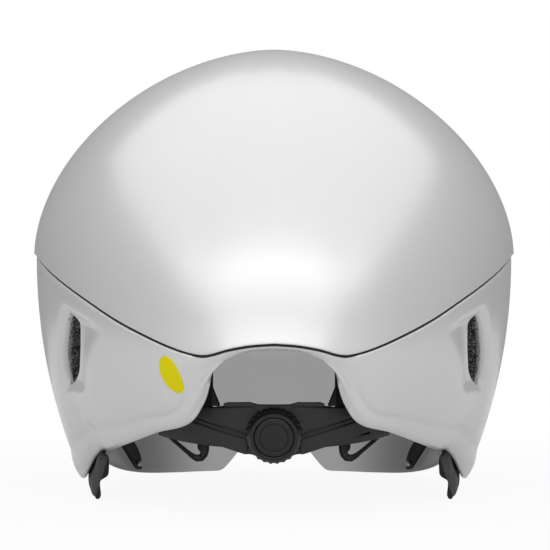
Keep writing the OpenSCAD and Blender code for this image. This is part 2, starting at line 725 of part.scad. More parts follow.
module slip_liner() {
    color("darkslategray")
        difference() {
            bowl([for (i = [0:liner_rows]) liner_row(i, slip_gap)],
                 [for (i = [0:liner_rows]) liner_row(i, slip_gap + slip_wall)],
                 [0, 0, hollow_top - slip_gap], [0, 0, hollow_top - slip_gap - slip_wall]);
            spots(anchor_turns, anchor_z)
                cylinder(r = anchor_hole_r, h = 4 * anchor_hole_r, center = true, $fn = round_fn);
            spots(air_hole_turns, air_hole_z)
                cylinder(r = air_hole_r, h = 4 * air_hole_r, center = true, $fn = round_fn);
        }
}
module liner_anchors() {
    reach = slip_gap + slip_wall + anchor_play;
    color("orange")
        spots(anchor_turns, anchor_z)
            union() {
                translate([0, 0, -reach])
                    cylinder(r = anchor_pin_r, h = reach - 2 * seat_gap, $fn = round_fn);
                translate([0, 0, -reach - anchor_cap_thick])
                    cylinder(r = anchor_cap_r, h = anchor_cap_thick, $fn = round_fn);
            }
}

// Comfort pads: crowned patches on the liner's inside, drawn in at their edges, with sewn channels
pad_seat = 0.85;
pad_edge_share = 0.12;
pad_round = 3.2;
channel_share = 0.45;
channel_sharp = 4.5;
// The heights that each pad spans, as shares of the hollow's, and the angles.
brow_pad_shares = [0.1724, 0.385];
rear_pad_shares = [-0.0575, 0.1954];
side_pad_shares = [-0.0345, 0.2644];
brow_pad_turns = [62, 118];
rear_pad_turns = [246, 294];
side_pad_turns = [-16, 22];
function pillow(u) = sqrt(max(0, 1 - pow(abs(2 * u - 1), pad_round)));
function channel(u, n) = 1 - channel_share * exp(-pow(sin(180 * u * n) * channel_sharp, 2));
function pad_height(u, v, n) =
    pad_thick * mix(pad_edge_share, 1, pillow(u) * pillow(v)) * channel(u, n);
module pad(turns, shares, cols, rows, channels) {
    function at(i, j, full) =
        let (u = j / cols, v = 1 - i / rows, a = mix(turns[0], turns[1], u),
             z = hollow_z(mix(shares[0], shares[1], v)))
        spot(a, z, 0)
            - spot_normal(a, z) * (slip_gap + slip_wall + pad_seat + (full ? pad_height(u, v, channels) : 0));
    slab([for (i = [0:rows]) [for (j = [0:cols]) at(i, j, false)]],
         [for (i = [0:rows]) [for (j = [0:cols]) at(i, j, true)]]);
}
module brow_pad() {
    color(pad_grey) pad(brow_pad_turns, brow_pad_shares, 24, 8, 4);
}
module rear_pad() {
    color(pad_grey) pad(rear_pad_turns, rear_pad_shares, 18, 8, 3);
}
module side_pad_right() {
    color(pad_grey) pad(side_pad_turns, side_pad_shares, 12, 8, 2);
}
module side_pad_left() {
    color(pad_grey) mirror([1, 0, 0]) pad(side_pad_turns, side_pad_shares, 12, 8, 2);
}
// A long pad over the crown, beside the middle
crown_pad_w_shares = [0.1707, 0.4146];
crown_pad_l_share = 0.5686;
crown_pad_cols = 16;
crown_pad_rows = 6;
roof_seat = 1.25;
function hollow_roof(x, y) =
    let (p = hollow_plan(atan2(y, x), 0), r = min(0.99, norm([x, y]) / norm(p)))
    hollow_base + (hollow_top - hollow_base) * pow(1 - pow(r, hollow_round), 1 / hollow_round);
module crown_pad() {
    function at(i, j, full) =
        let (u = j / crown_pad_cols, v = i / crown_pad_rows,
             x = hollow_w * mix(crown_pad_w_shares[0], crown_pad_w_shares[1], v),
             y = crown_pad_l_share * mix(-hollow_rear, hollow_front, u),
             n = unit([hollow_roof(x - probe, y) - hollow_roof(x + probe, y),
                       hollow_roof(x, y - probe) - hollow_roof(x, y + probe), 2 * probe]))
        [x, y, hollow_roof(x, y)]
            - n * (slip_gap + slip_wall + roof_seat + (full ? pad_height(u, v, 3) : 0));
    slab([for (i = [0:crown_pad_rows]) [for (j = [0:crown_pad_cols]) at(i, j, false)]],
         [for (i = [0:crown_pad_rows]) [for (j = [0:crown_pad_cols]) at(i, j, true)]]);
}
module crown_pad_right() {
    color(pad_grey) crown_pad();
}
module crown_pad_left() {
    color(pad_grey) mirror([1, 0, 0]) crown_pad();
}

// Cradle frame: origin on the axis of the curved wall, -Y towards the dial
cradle_y = cradle_back_share * tail_len;
cradle_r = cradle_r_share * half_w;
module cradle_frame() {
    translate([0, -cradle_y, dial_z])
        rotate([dial_tilt, 0, 0])
            translate([0, cradle_r, 0])
                children();
}
module dial_axis(h) {
    cradle_frame() rotate([90, 0, 0]) translate([0, 0, h]) children();
}
wall_in_r = cradle_r - cradle_wall;
band_out_r = wall_in_r - band_gap;
band_in_r = band_out_r - band_thick;
band_mid_r = (band_out_r + band_in_r) / 2;
plate_thick = 1.2;
plate_out_r = band_in_r - band_gap;
plate_in_r = plate_out_r - plate_thick;
// A curved bar about the frame's Z axis, from angle a0 to a1 counted from -Y towards +X
module arc_bar(r0, r1, z0, z1, a0, a1) {
    rotate([0, 0, a0 - 90])
        rotate_extrude(angle = a1 - a0, $fn = 4 * round_fn)
            translate([r0, z0]) square([r1 - r0, z1 - z0]);
}

// Teeth of the pinion and of the two racks
pinion_r = pinion_teeth * tooth_module / 2;
addendum = 0.7 * tooth_module;
dedendum = 1.1 * tooth_module;
tooth_pitch = PI * tooth_module;
band_pitch = 360 * tooth_pitch / (2 * PI * band_mid_r);
rack_root = pinion_r + dedendum;
rack_back = 2.4;
rack_high = rack_root + rack_back;

// Yoke: the curved wall with its wings, the dial's boss and the two stems
// Half outline of the wings, as shares of cradle_r outwards and of knob_r upwards
wing_shares = [[0, 1.008], [0.104, 1.008], [0.153, 1.069], [0.361, 0.855], [0.410, 0.794], [0.419, 0.626],
               [0.514, 0.611], [0.569, 0.580], [0.620, 0.560], [0.900, 0.560], [0.900, -0.080],
               [0.720, -0.100], [0.694, -0.183], [0.539, -0.336],
               [0.528, -0.260], [0.425, -0.382], [0.417, -0.473], [0.186, -0.809], [0.125, -0.840],
               [0, -0.840]];
arm_turn = 60;
boss_r = 11.4;
boss_proud = 2;
boss_root = 1.4;
module wing_outline() {
    half = [for (w = wing_shares) [w[0] * cradle_r, w[1] * knob_r]];
    polygon(concat(half, [for (k = [len(half) - 1:-1:0]) [-half[k][0], half[k][1]]]));
}
module cradle_yoke() {
    stem_top = socket_low + socket_h - socket_roof - stem_travel - 2 * seat_gap;
    color(plastic_black) {
        cradle_frame()
            difference() {
                union() {
                    intersection() {
                        rotate([90, 0, 0]) linear_extrude(2 * cradle_r) wing_outline();
                        arc_bar(wall_in_r, cradle_r, -2 * knob_r, 2 * knob_r, -arm_turn, arm_turn);
                    }
                    rotate([90, 0, 0])
                        translate([0, 0, cradle_r - boss_root])
                            cylinder(r = boss_r, h = boss_root + boss_proud, $fn = round_fn);
                }
                rotate([90, 0, 0]) cylinder(r = shaft_r + shaft_gap, h = 2 * cradle_r, $fn = round_fn);
            }
        both_sides()
            stem_frame()
                translate([-stem_w / 2, -stem_thick / 2, stem_foot])
                    cube([stem_w, stem_thick, stem_top - stem_foot]);
    }
}

// Inner plate behind the bands, held off the yoke's wall by four lugs
plate_half = 9.4;
plate_turn = 57;
tail_r = 1.5;
lug_high_turn = [11, 19];
lug_low_turn = [5.5, 9];
module cradle_plate() {
    lug_low = rack_high + band_gap;
    color(plastic_black)
        cradle_frame()
            difference() {
                union() {
                    arc_bar(plate_in_r, plate_out_r, -plate_half, plate_half, -plate_turn, plate_turn);
                    both_sides() {
                        arc_bar(plate_in_r, wall_in_r - seat_gap, lug_low, plate_half, lug_high_turn[0],
                                lug_high_turn[1]);
                        arc_bar(plate_in_r, wall_in_r - seat_gap, -plate_half, -lug_low, lug_low_turn[0],
                                lug_low_turn[1]);
                    }
                }
                rotate([90, 0, 0]) cylinder(r = tail_r + shaft_gap, h = 2 * cradle_r, $fn = round_fn);
            }
}

// Four soft pads on the plate's inside
nape_turns = [6, 36];
nape_span = 17;
nape_half_thick = 2.3;
nape_half_high = 7;
nape_rise = 1.5;
nape_rings = 8;
nape_sides = 14;
nape_square = 0.7;
nape_end_share = 0.3;
module nape_pad() {
    skin([for (k = [0:nape_rings])
        let (u = k / nape_rings, full = mix(nape_end_share, 1, pillow(u)), a = u * nape_span)
        [for (m = [0:nape_sides - 1])
            let (q = m * 360 / nape_sides,
                 r = plate_in_r - seat_gap + nape_half_thick * (full * power(cos(q), nape_square) - 1),
                 z = nape_rise + nape_half_high * full * power(sin(q), nape_square))
            [r * cos(a), r * sin(a), z]]]);
}
module nape_pads() {
    color(pad_grey)
        both_sides()
            cradle_frame()
                for (a = nape_turns)
                    rotate([0, 0, a - 90]) nape_pad();
}

// Ratchet ring on the wall's boss, and the spring that turns with the knob
ring_teeth = 18;
ring_r = 9.4;
ring_notch = 0.8;
ring_bore = 6.2;
ring_thick = 2.4;
module ratchet_ring() {
    color(plastic_black)
        dial_axis(cradle_r + boss_proud)
            difference() {
                linear_extrude(ring_thick)
                    polygon([for (k = [0:2 * ring_teeth - 1])
                        let (a = k * 180 / ring_teeth, r = ring_r - (k % 2) * ring_notch)
                        [r * cos(a), r * sin(a)]]);
                translate([0, 0, -over]) cylinder(r = ring_bore, h = ring_thick + 2 * over, $fn = round_fn);
            }
}
dial_base = cradle_r + boss_proud + band_gap;
spring_thick = 0.9;
spring_wall = 0.7;
spring_gap = 0.35;
tab_w = 5;
module pawl_spring() {
    out_r = ring_r + spring_gap + spring_wall;
    color("silver")
        dial_axis(dial_base + band_gap)
            union() {
                difference() {
                    cylinder(r = out_r, h = spring_thick, $fn = round_fn);
                    translate([0, 0, -over])
                        cylinder(r = out_r - spring_wall / 2, h = spring_thick + 2 * over, $fn = round_fn);
                }
                for (k = [0:2])
                    rotate([0, 0, 120 * k])
                        translate([ring_r + spring_gap, -tab_w / 2, 0])
                            cube([spring_wall * 0.8, tab_w, spring_thick]);
            }
}

// Dial: ribbed knob, cap, and the shaft with the pinion
// The knob's profile, as shares of its radius and depth
knob_shares = [[0, 0], [0.954, 0], [1, 0.093], [1, 0.698], [0.931, 0.837], [0.870, 1], [0, 1]];
rib_r = 0.7;
rib_low = 0.6;
rib_short = 2.6;
bowl_r = 10.6;
bowl_deep = 5;
cap_r = 9.3;
cap_deep = 1.9;
cap_gap = 0.1;
// The cap's profile, as shares of its radius and depth
cap_shares = [[0, 0.26], [0.366, 0.26], [0.366, 0], [1, 0], [1, 0.79], [0.957, 1], [0.763, 1],
              [0.731, 0.79], [0.688, 1], [0.387, 1], [0.129, 0.82], [0, 0.79]];
module dial_knob() {
    color(plastic_black)
        dial_axis(dial_base)
            difference() {
                union() {
                    rotate_extrude($fn = round_fn)
                        polygon([for (k = knob_shares) [k[0] * knob_r, k[1] * knob_deep]]);
                    for (k = [0:knob_ribs - 1])
                        rotate([0, 0, k * 360 / knob_ribs])
                            translate([knob_r, 0, rib_low])
                                cylinder(r = rib_r, h = knob_deep - rib_short, $fn = 16);
                }
                translate([0, 0, -over]) cylinder(r = bowl_r, h = over + bowl_deep, $fn = round_fn);
                translate([0, 0, -over]) cylinder(r = shaft_r, h = knob_deep + 2 * over, $fn = round_fn);
                translate([0, 0, knob_deep - cap_deep - cap_gap])
                    cylinder(r = cap_r + 2 * cap_gap, h = cap_deep + cap_gap + over, $fn = round_fn);
            }
}
module dial_cap() {
    color(plastic_black)
        dial_axis(dial_base + knob_deep - cap_deep)
            rotate_extrude($fn = round_fn)
                polygon([for (c = cap_shares) [c[0] * cap_r, c[1] * cap_deep]]);
}
shaft_top = dial_base + knob_deep - cap_deep - 3 * cap_gap;
// Half of a pinion tooth, as degrees from its middle and the radius reached
tooth_turns = [[17, -dedendum], [9.5, 0], [4, addendum]];
module pinion() {
    half = tooth_turns;
    tooth = concat([for (t = half) [-t[0], t[1]]], [for (k = [2:-1:0]) half[k]]);
    color("dimgray")
        union() {
            dial_axis(band_in_r + cap_gap)
                linear_extrude(band_thick - 2 * cap_gap)
                    polygon(flat([for (k = [0:pinion_teeth - 1])
                        let (c = 90 + k * 360 / pinion_teeth)
                        [for (t = tooth) (pinion_r + t[1]) * [cos(c + t[0]), sin(c + t[0])]]]));
            dial_axis(band_in_r + band_thick / 2)
                cylinder(r = shaft_r, h = shaft_top - band_in_r - band_thick / 2, $fn = round_fn);
            dial_axis(plate_in_r) cylinder(r = tail_r, h = band_mid_r - plate_in_r, $fn = round_fn);
        }
}
screw_r = 2.6;
screw_thick = 0.7;
screw_socket_r = 1.2;
module dial_screw() {
    color(steel)
        dial_axis(shaft_top)
            difference() {
                cylinder(r = screw_r, h = screw_thick, $fn = round_fn);
                translate([0, 0, screw_thick / 2]) cylinder(r = screw_socket_r, h = over, $fn = 6);
            }
}

// Toothed bands: each runs round the cradle's axis and passes over or under the pinion
rack_from = -7;
strip_from = 42;
strip_to = 74;
strip_low = -0.6;
rack_first = -2;
rack_last = 11;
// Half of a rack tooth, as shares of the pitch from its middle and of the module from the pitch line
rack_tooth_shares = [[0.302, 1.3], [0.191, 0], [0.089, -0.7]];
module band(upper) {
    half = [for (t = rack_tooth_shares) [t[0] * tooth_pitch, pinion_r + t[1] * tooth_module]];
    mirror([0, 0, upper ? 0 : 1]) {
        difference() {
            arc_bar(band_in_r, band_out_r, strip_low, rack_high, rack_from, strip_to);
            arc_bar(band_in_r - over, band_out_r + over, strip_low - over, rack_root, 2 * rack_from, strip_from);
        }
        for (k = [rack_first:rack_last])
            rotate([0, 0, (k + 0.5) * band_pitch])
                translate([0, -band_in_r, 0])
                    rotate([90, 0, 0])
                        linear_extrude(band_thick)
                            polygon(concat([for (t = half) [-t[0], t[1]]], [for (m = [2:-1:0]) half[m]]));
    }
}
module band_right() {
    color(web_black) cradle_frame() band(false);
}
module band_left() {
    color(web_black) cradle_frame() mirror([1, 0, 0]) band(true);
}

// Strap anchors: discs in pockets of the foam
strap_anchor_r = 6.6;
strap_anchor_thick = 3;
anchor_pocket = 12;
rear_anchor_share = [0.286, -0.633, 0.687];
front_anchor_share = [0.642, 0.207, 0.727];
function place(share) = [half_w * share[0], tail_len * share[1], seam_z * share[2]];
rear_anchor_at = place(rear_anchor_share);
front_anchor_at = place(front_anchor_share);
// The disc itself, or grown by a clearance, the pocket for it.
module anchor_disc(grow) {
    open = grow > 0 ? anchor_pocket : 0;
    translate([0, 0, -open])
        cylinder(r = strap_anchor_r + grow, h = open + strap_anchor_thick + grow, $fn = round_fn);
}
module rear_anchor(grow) {
    translate(rear_anchor_at) anchor_disc(grow);
}
module front_anchor(grow) {
    translate(front_anchor_at) rotate([0, 90, 0]) anchor_disc(grow);
}
module strap_anchors() {
    color(plastic_black)
        both_sides() {
            rear_anchor(0);
            front_anchor(0);
        }
}

// Divider below each ear, which gathers the rear and front strap into the chin strap
divider_share = [0.619, -0.290, 0.499];
divider_at = place(divider_share);
divider_size = [3.8, 12, 18];
module strap_dividers() {
    color(plastic_black) both_sides() translate(divider_at) cube(divider_size, center = true);
}

// Buckle, closed, at the middle of the stowed chin strap
buckle_back_share = 0.053;
buckle_z_share = 0.8985;
buckle_at = [0, -buckle_back_share * tail_len, buckle_z_share * hollow_top];
buckle_half = 17;
buckle_w = 20;
buckle_thick = 8;
buckle_wall = 1.6;
buckle_floor = 5;
prong_w = 3;
prong_inset = 3.4;
module buckle_socket() {
    color(plastic_black)
        translate(buckle_at)
            difference() {
                translate([-buckle_half, -buckle_w / 2, -buckle_thick / 2])
                    cube([buckle_half, buckle_w, buckle_thick]);
                translate([buckle_floor - buckle_half, buckle_wall - buckle_w / 2,
                           buckle_wall - buckle_thick / 2])
                    cube([buckle_half, buckle_w - 2 * buckle_wall, buckle_thick - 2 * buckle_wall]);
            }
}
module buckle_prongs() {
    high = buckle_thick - 2 * buckle_wall - 2 * seat_gap;
    color(plastic_black)
        translate(buckle_at)
            union() {
                translate([seat_gap, -buckle_w / 2, -buckle_thick / 2])
                    cube([buckle_half - seat_gap, buckle_w, buckle_thick]);
                for (s = [-1, 1])
                    translate([(seat_gap - buckle_half) / 2, s * (buckle_w / 2 - prong_inset) - prong_w / 2,
                               -high / 2])
                        cube([buckle_half / 2 + seat_gap, prong_w, high]);
            }
}

// Webbing: a flat strap along hand-set points, each with the direction of its width
function web_loops(path) =
    [for (k = [0:len(path) - 1])
        let (p = path[k][0], q0 = path[max(0, k - 1)][0], q1 = path[min(len(path) - 1, k + 1)][0],
             d = unit(q1 - q0), w = unit(path[k][1] - (path[k][1] * d) * d), n = cross(d, w))
        [p + w * web_w / 2 - n * web_thick / 2, p - w * web_w / 2 - n * web_thick / 2,
         p - w * web_w / 2 + n * web_thick / 2, p + w * web_w / 2 + n * web_thick / 2]];
function placed(rows) = [for (r = rows) [place(r[0]), r[1]]];
web_end = web_w / 2;
// Places as shares of half_w, tail_len and seam_z, and the width's direction there
rear_strap_shares = [[[0.284, -0.645, 0.549], [0.42, 1, 0]], [[0.282, -0.645, 0.399], [0.42, 1, 0]],
                     [[0.282, -0.645, 0.283], [0.42, 1, 0]], [[0.282, -0.645, 0.241], [0.42, 1, 0]],
                     [[0.287, -0.643, 0.219], [0.3, 1, 0]], [[0.299, -0.638, 0.211], [0.2, 1, 0]],
                     [[0.317, -0.630, 0.213], [0.1, 1, -0.1]], [[0.357, -0.600, 0.236], [0.1, 0.9, -0.4]],
                     [[0.404, -0.557, 0.272], [0.2, 0.6, -0.7]], [[0.452, -0.510, 0.322], [0.3, 0.4, -0.9]],
                     [[0.509, -0.443, 0.385], [0.2, 0.1, -1]], [[0.570, -0.390, 0.449], [0.1, 0, -1]]];
front_strap_shares = [[[0.632, 0.196, 0.680], [0, 0.95, -0.3]], [[0.632, 0.133, 0.615], [0, 0.74, -0.67]],
                      [[0.634, 0.020, 0.560], [0, 0.4, -0.9]], [[0.628, -0.120, 0.515], [0, 0.15, -1]]];
// Places as shares of half_w, of tail_len and of the way up from the divider to the buckle
chin_strap_shares = [[0.606, -0.267, 0.188], [0.589, -0.227, 0.279], [0.571, -0.173, 0.409],
                     [0.531, -0.120, 0.604], [0.456, -0.080, 0.782], [0.340, -0.060, 0.916],
                     [0.224, -0.053, 0.982]];
module rear_strap() {
    start = rear_anchor_at - [0, 0, seat_gap];
    stop = divider_at - [0, divider_size[1] / 2 + seat_gap, 0];
    skin(web_loops(concat(
        [[start, [0.42, 1, 0]], [start - [0, 0, web_end], [0.42, 1, 0]]], placed(rear_strap_shares),
        [[stop - [0, web_end, 0], [0, 0, -1]], [stop, [0, 0, -1]]])));
}
module front_strap() {
    start = front_anchor_at - [seat_gap + web_thick / 2, 0, 0];
    stop = divider_at + [0, divider_size[1] / 2 + seat_gap, 0];
    skin(web_loops(concat(
        [[start + [0, 0, web_end], [0, 1, 0]], [start, [0, 1, 0]]], placed(front_strap_shares),
        [[stop + [0, web_end, 0], [0, 0, -1]], [stop, [0, 0, -1]]])));
}
module chin_half() {
    start = divider_at + [0, 0, divider_size[2] / 2 + seat_gap];
    stop = buckle_at + [buckle_half + seat_gap, 0, 0];
    rise = [for (c = chin_strap_shares)
        [[half_w * c[0], tail_len * c[1], mix(divider_at[2], buckle_at[2], c[2])], [0, 1, 0]]];
    skin(web_loops(concat(
        [[start, [0, 1, 0]], [start + [0, 0, web_end], [0, 1, 0]]], rise,
        [[stop + [web_end, 0, 0], [0, 1, 0]], [stop, [0, 1, 0]]])));
}
module rear_strap_right() {
    color(web_black) rear_strap();
}
module rear_strap_left() {
    color(web_black) mirror([1, 0, 0]) rear_strap();
}
module front_strap_right() {
    color(web_black) front_strap();
}
module front_strap_left() {
    color(web_black) mirror([1, 0, 0]) front_strap();
}
module chin_strap() {
    color(web_black) both_sides() chin_half();
}

crown_shell();
lower_shell();
crown_foam();
side_foam_left();
side_foam_right();
brow_seal();
intake_grille();
label_plate();
ear_flap_left();
ear_flap_right();
helmet_magnets();
height_sockets();
liner_anchors();
strap_anchors();
rear_strap_left();
rear_strap_right();
front_strap_left();
front_strap_right();
strap_dividers();
chin_strap();
buckle_socket();
buckle_prongs();
slip_liner();
brow_pad();
crown_pad_left();
crown_pad_right();
side_pad_left();
side_pad_right();
rear_pad();
cradle_yoke();
cradle_plate();
nape_pads();
ratchet_ring();
dial_knob();
dial_cap();
pinion();
pawl_spring();
dial_screw();
band_left();
band_right();
visor_lens();
magnet_arm_left();
magnet_arm_right();
visor_magnets();
arm_screws();
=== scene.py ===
"""Finished pieces, materials and studio for an aero time trial helmet, round its packed CAD frame."""

import math

import bmesh
import bpy
import numpy as np
from bpy.props import FloatProperty, FloatVectorProperty, IntProperty, PointerProperty
from mathutils import Matrix, Vector


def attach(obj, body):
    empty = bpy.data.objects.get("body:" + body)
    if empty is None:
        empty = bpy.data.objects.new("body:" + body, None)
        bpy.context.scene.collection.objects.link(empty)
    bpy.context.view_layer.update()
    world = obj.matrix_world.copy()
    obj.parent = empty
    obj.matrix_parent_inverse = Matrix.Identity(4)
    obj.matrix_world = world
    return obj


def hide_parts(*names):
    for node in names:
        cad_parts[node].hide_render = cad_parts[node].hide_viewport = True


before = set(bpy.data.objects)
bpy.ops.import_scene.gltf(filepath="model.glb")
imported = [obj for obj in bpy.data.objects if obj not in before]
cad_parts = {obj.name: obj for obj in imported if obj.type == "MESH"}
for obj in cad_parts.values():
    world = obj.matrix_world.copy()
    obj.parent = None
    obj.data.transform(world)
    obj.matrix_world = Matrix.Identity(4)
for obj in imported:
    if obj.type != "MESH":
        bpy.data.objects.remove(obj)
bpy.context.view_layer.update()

bl_info = {
    "name": "Aero time trial helmet",
    "version": (1, 0, 0),
    "blender": (4, 5, 0),
    "location": "3D View > Sidebar > Helmet",
    "description": "Shells, visor, padding, straps and cradle of a time trial helmet, with a studio",
    "category": "Object",
}

MM = 0.001
MERGE_AT = 2e-6

# The helmet's form, in millimetres, by the same rules as its CAD source
HALF_W = 120.5
TAIL_LEN = 150.0
BROW_LEN = 134.0
TOP_Z = 223.6
SEAM_Z = 120.3
SEAM_DROP = 44.0
BROW_RISE = 7.7
TOP_Y = 5.0
CROWN_ROUND = 1.8
FRONT_CROWN_ROUND = 2.1
CROWN_WALL = 2.2
LOWER_WALL = 2.0
LENS_WALL = 2.2
LIP_STEP = 1.2
LIP_GAP = 0.6
SEAT_GAP = 0.3
HOLLOW_W = 82.0
HOLLOW_L = 102.0
HOLLOW_TOP = 192.0
HOLLOW_BASE = 105.0
SLIP_GAP = 1.6
SLIP_WALL = 1.2
PAD_THICK = 6.0
FRONT_ROUND = 2.25
REAR_ROUND = 2.0
LIP_FLARE = 2.2
LIP_BAND = 16.0
FLARE_START = 0.35
SEAM_SHARES = [(0, 0), (0.12, 0), (0.26, 0.14), (0.44, 0.40), (0.585, 0.66), (0.71, 0.87),
               (0.78, 0.985), (0.815, 1), (0.85, 0.975), (0.88, 0.935), (0.94, 0.886), (1, 0.866)]
DOME_SHARES = [*SEAM_SHARES[:6], (0.80, 0.985), (0.88, 1), (1, 1)]
# Share of the way, angle of the seam above, then shares of the half width, tail length and seam height.
RIM_SHARES = [(0, -90, 0, -0.976, 0.652), (0.08, -84, 0.093, -0.974, 0.645),
              (0.15, -79, 0.165, -0.965, 0.622), (0.22, -74, 0.222, -0.948, 0.582),
              (0.29, -69, 0.256, -0.925, 0.528), (0.36, -64, 0.288, -0.885, 0.447),
              (0.43, -58, 0.345, -0.828, 0.355), (0.51, -50.5, 0.462, -0.722, 0.310),
              (0.59, -42, 0.575, -0.560, 0.256), (0.67, -33, 0.660, -0.400, 0.214),
              (0.74, -25, 0.714, -0.275, 0.195), (0.80, -18, 0.765, -0.200, 0.115),
              (0.86, -11, 0.792, -0.110, 0.070), (0.93, -1, 0.806, 0.030, 0.072),
              (1, 10.5, 0.815, 0.170, 0.110), (1.14, 25, 0.800, 0.360, 0.300)]
BULGE_POWER = 2.1
# The scoop round an exhaust opening. A ramp is its start and its run, in shares of the lower shell.
DISH_DEEP, DISH_THINS = 3.6, 1.2
DISH_LINE = (0.69, 0.19, 0.40)
DISH_BACK, DISH_FRONT, DISH_TOP, DISH_FOOT = (-0.10, 0.075), (0.028, 0.018), (0.11, 0.09), (0.58, 0.09)
# The lens: its width and its front by height, and its lower edge by the angle
LENS_W_SHARES = [(0, 0.85), (0.25, 0.865), (0.42, 0.915), (0.54, 0.945), (0.67, 0.966), (0.79, 0.982),
                 (0.92, 0.992), (1.06, 0.992)]
LENS_F_SHARES = [(0, 1.10), (0.25, 1.126), (0.5, 1.1358), (0.7, 1.114), (0.92, 1.05), (1.06, 1.002)]
LENS_LOW_SHARES = [(0.1, 0.235), (0.162, 0.2), (0.249, 0.145), (0.327, 0.092), (0.39, 0.055),
                   (0.46, 0.028), (0.56, 0.008), (0.7, 0), (0.83, 0), (0.855, 0.012), (0.9, 0.083),
                   (0.944, 0.175), (0.978, 0.24), (1, 0.255)]
LENS_START = 11.6
# The soft panel on each side of the lower shell, with its rear edge by height, and the roll at its foot
PANEL_EDGE = [(0, 0.245), (0.38, 0.262), (0.73, 0.318), (0.9, 0.385), (1, 0.40)]
PANEL_RISE, PANEL_STEP, PANEL_FOOT, PANEL_FRONT = 0.9, 0.022, (0.82, 0.06), (0.78, 0.12)
ROLL_RISE, ROLL_FROM, ROLL_POWER, ROLL_REAR = 1.3, 0.875, 0.8, (0.14, 0.16)
HOLLOW_ROUND = 2.1
# Steps in shares and in degrees that slopes are taken over, and where the dome's top counts as level
FINE, NORMAL_TURN, POLE_LEVEL = 0.02, 0.5, 0.995


def curve(rows, x):
    """Smooth value at x through hand-set rows of place and value."""
    places = np.array([r[0] for r in rows], float)
    values = np.array([r[1] for r in rows], float)
    slopes = np.empty_like(values)
    slopes[0] = (values[1] - values[0]) / (places[1] - places[0])
    slopes[-1] = (values[-1] - values[-2]) / (places[-1] - places[-2])
    slopes[1:-1] = (values[2:] - values[:-2]) / (places[2:] - places[:-2])
    x = np.clip(x, places[0], places[-1])
    k = np.clip(np.searchsorted(places, x, side="left") - 1, 0, len(places) - 2)
    w = places[k + 1] - places[k]
    h = (x - places[k]) / w
    return ((2 * h**3 - 3 * h**2 + 1) * values[k] + (h**3 - 2 * h**2 + h) * w * slopes[k]
            + (3 * h**2 - 2 * h**3) * values[k + 1] + (h**3 - h**2) * w * slopes[k + 1])


def sind(a):
    return np.sin(np.radians(a))


def cosd(a):
    return np.cos(np.radians(a))


def mix(a, b, t):
    return a + (b - a) * t


def ease(t):
    h = np.clip(t, 0, 1)
    return h * h * (3 - 2 * h)


def ramp(x, start, run):
    """0 up to the start, 1 past the run, and smooth between them."""
    return ease((x - start) / run)


def unit(v):
    return v / np.maximum(np.linalg.norm(v, axis=-1, keepdims=True), 1e-9)


def power(v, e):
    return np.sign(v) * np.abs(v) ** e


def xyz(x, y, z):
    return np.stack(np.broadcast_arrays(x, y, z), -1).astype(float)


def column(rows, c):
    return [(r[0], r[c]) for r in rows]


def turn(a):
    return np.degrees(np.arcsin(np.minimum(1, np.abs(sind(a))))) / 90


def seam(a, shares):
    behind = SEAM_Z - SEAM_DROP * curve(shares, turn(a))
    return np.where(sind(a) < 0, behind, SEAM_Z + BROW_RISE * ease(turn(a)))


def plan(a, w, front, rear, n_front=FRONT_ROUND, n_rear=REAR_ROUND):
    ahead = sind(a) >= 0
    e = np.where(ahead, 2 / n_front, 2 / n_rear)
    return w * power(cosd(a), e), np.where(ahead, front, rear) * power(sind(a), e)


def normal_of(form, u, v, du, dv):
    """Unit normal of a form of two numbers, from its slopes."""
    across = form(u + du, v) - form(u - du, v)
    along = form(u, np.minimum(1, v + dv)) - form(u, np.maximum(0, v - dv))
    return unit(np.cross(across, along))


def dome_point(a, f):
    low, start = seam(a, DOME_SHARES), seam(a, SEAM_SHARES)
    n = np.where(sind(a) > 0, mix(CROWN_ROUND, FRONT_CROWN_ROUND, ease(turn(a))), CROWN_ROUND)
    rise = np.maximum(0, start - low) / (TOP_Z - low)
    phi = mix(np.degrees(np.arcsin(rise ** (n / 2))), 90, f)
    z = low + (TOP_Z - low) * np.maximum(0, sind(phi)) ** (2 / n)
    x, y = plan(a, HALF_W, BROW_LEN, TAIL_LEN)
    y = y - TOP_Y
    out = np.hypot(x, y)
    flare = LIP_FLARE * ramp(turn(a), FLARE_START, 1 - FLARE_START)
    flare = flare * np.maximum(0, 1 - (z - start) / LIP_BAND) ** 2
    flare = np.where(sind(a) >= 0, 0, flare)
    draw = np.maximum(0, cosd(phi)) ** (2 / n) + flare / out
    return xyz(x * draw, TOP_Y + y * draw, z)


def dome_inset(a, f, d):
    n = normal_of(dome_point, a, f, NORMAL_TURN, FINE)
    n = np.where((np.asarray(f) > POLE_LEVEL)[..., None], np.array([0, 0, 1.0]), n)
    return dome_point(a, f) - d * n


def seam_angle(s):
    return curve(column(RIM_SHARES, 1), s)


def edge_point(s):
    p = dome_point(seam_angle(s), np.zeros_like(s))
    out = unit(p * np.array([1, 1, 0]))
    return p - LIP_STEP * out - np.array([0, 0, LIP_GAP])


def low_form(s, t):
    s, t = np.broadcast_arrays(np.asarray(s, float), np.asarray(t, float))
    c = edge_point(s)
    b = xyz(HALF_W * curve(column(RIM_SHARES, 2), s), TAIL_LEN * curve(column(RIM_SHARES, 3), s),
            SEAM_Z * curve(column(RIM_SHARES, 4), s))
    k = t ** BULGE_POWER
    return c + (b - c) * np.stack([k, k, t], -1)


def low_normal(s, t):
    return -normal_of(low_form, s, t, FINE / 2, FINE)


def dish(s, t):
    """Depth of the scoop round an exhaust opening: a long slope behind it and a step before it."""
    spot, lean, middle = DISH_LINE
    u = s - spot - lean * (t - middle)
    across = ramp(u, *DISH_BACK) * (1 - ramp(u, *DISH_FRONT))
    return DISH_DEEP * across * ramp(t, *DISH_TOP) * (1 - ramp(t, *DISH_FOOT))


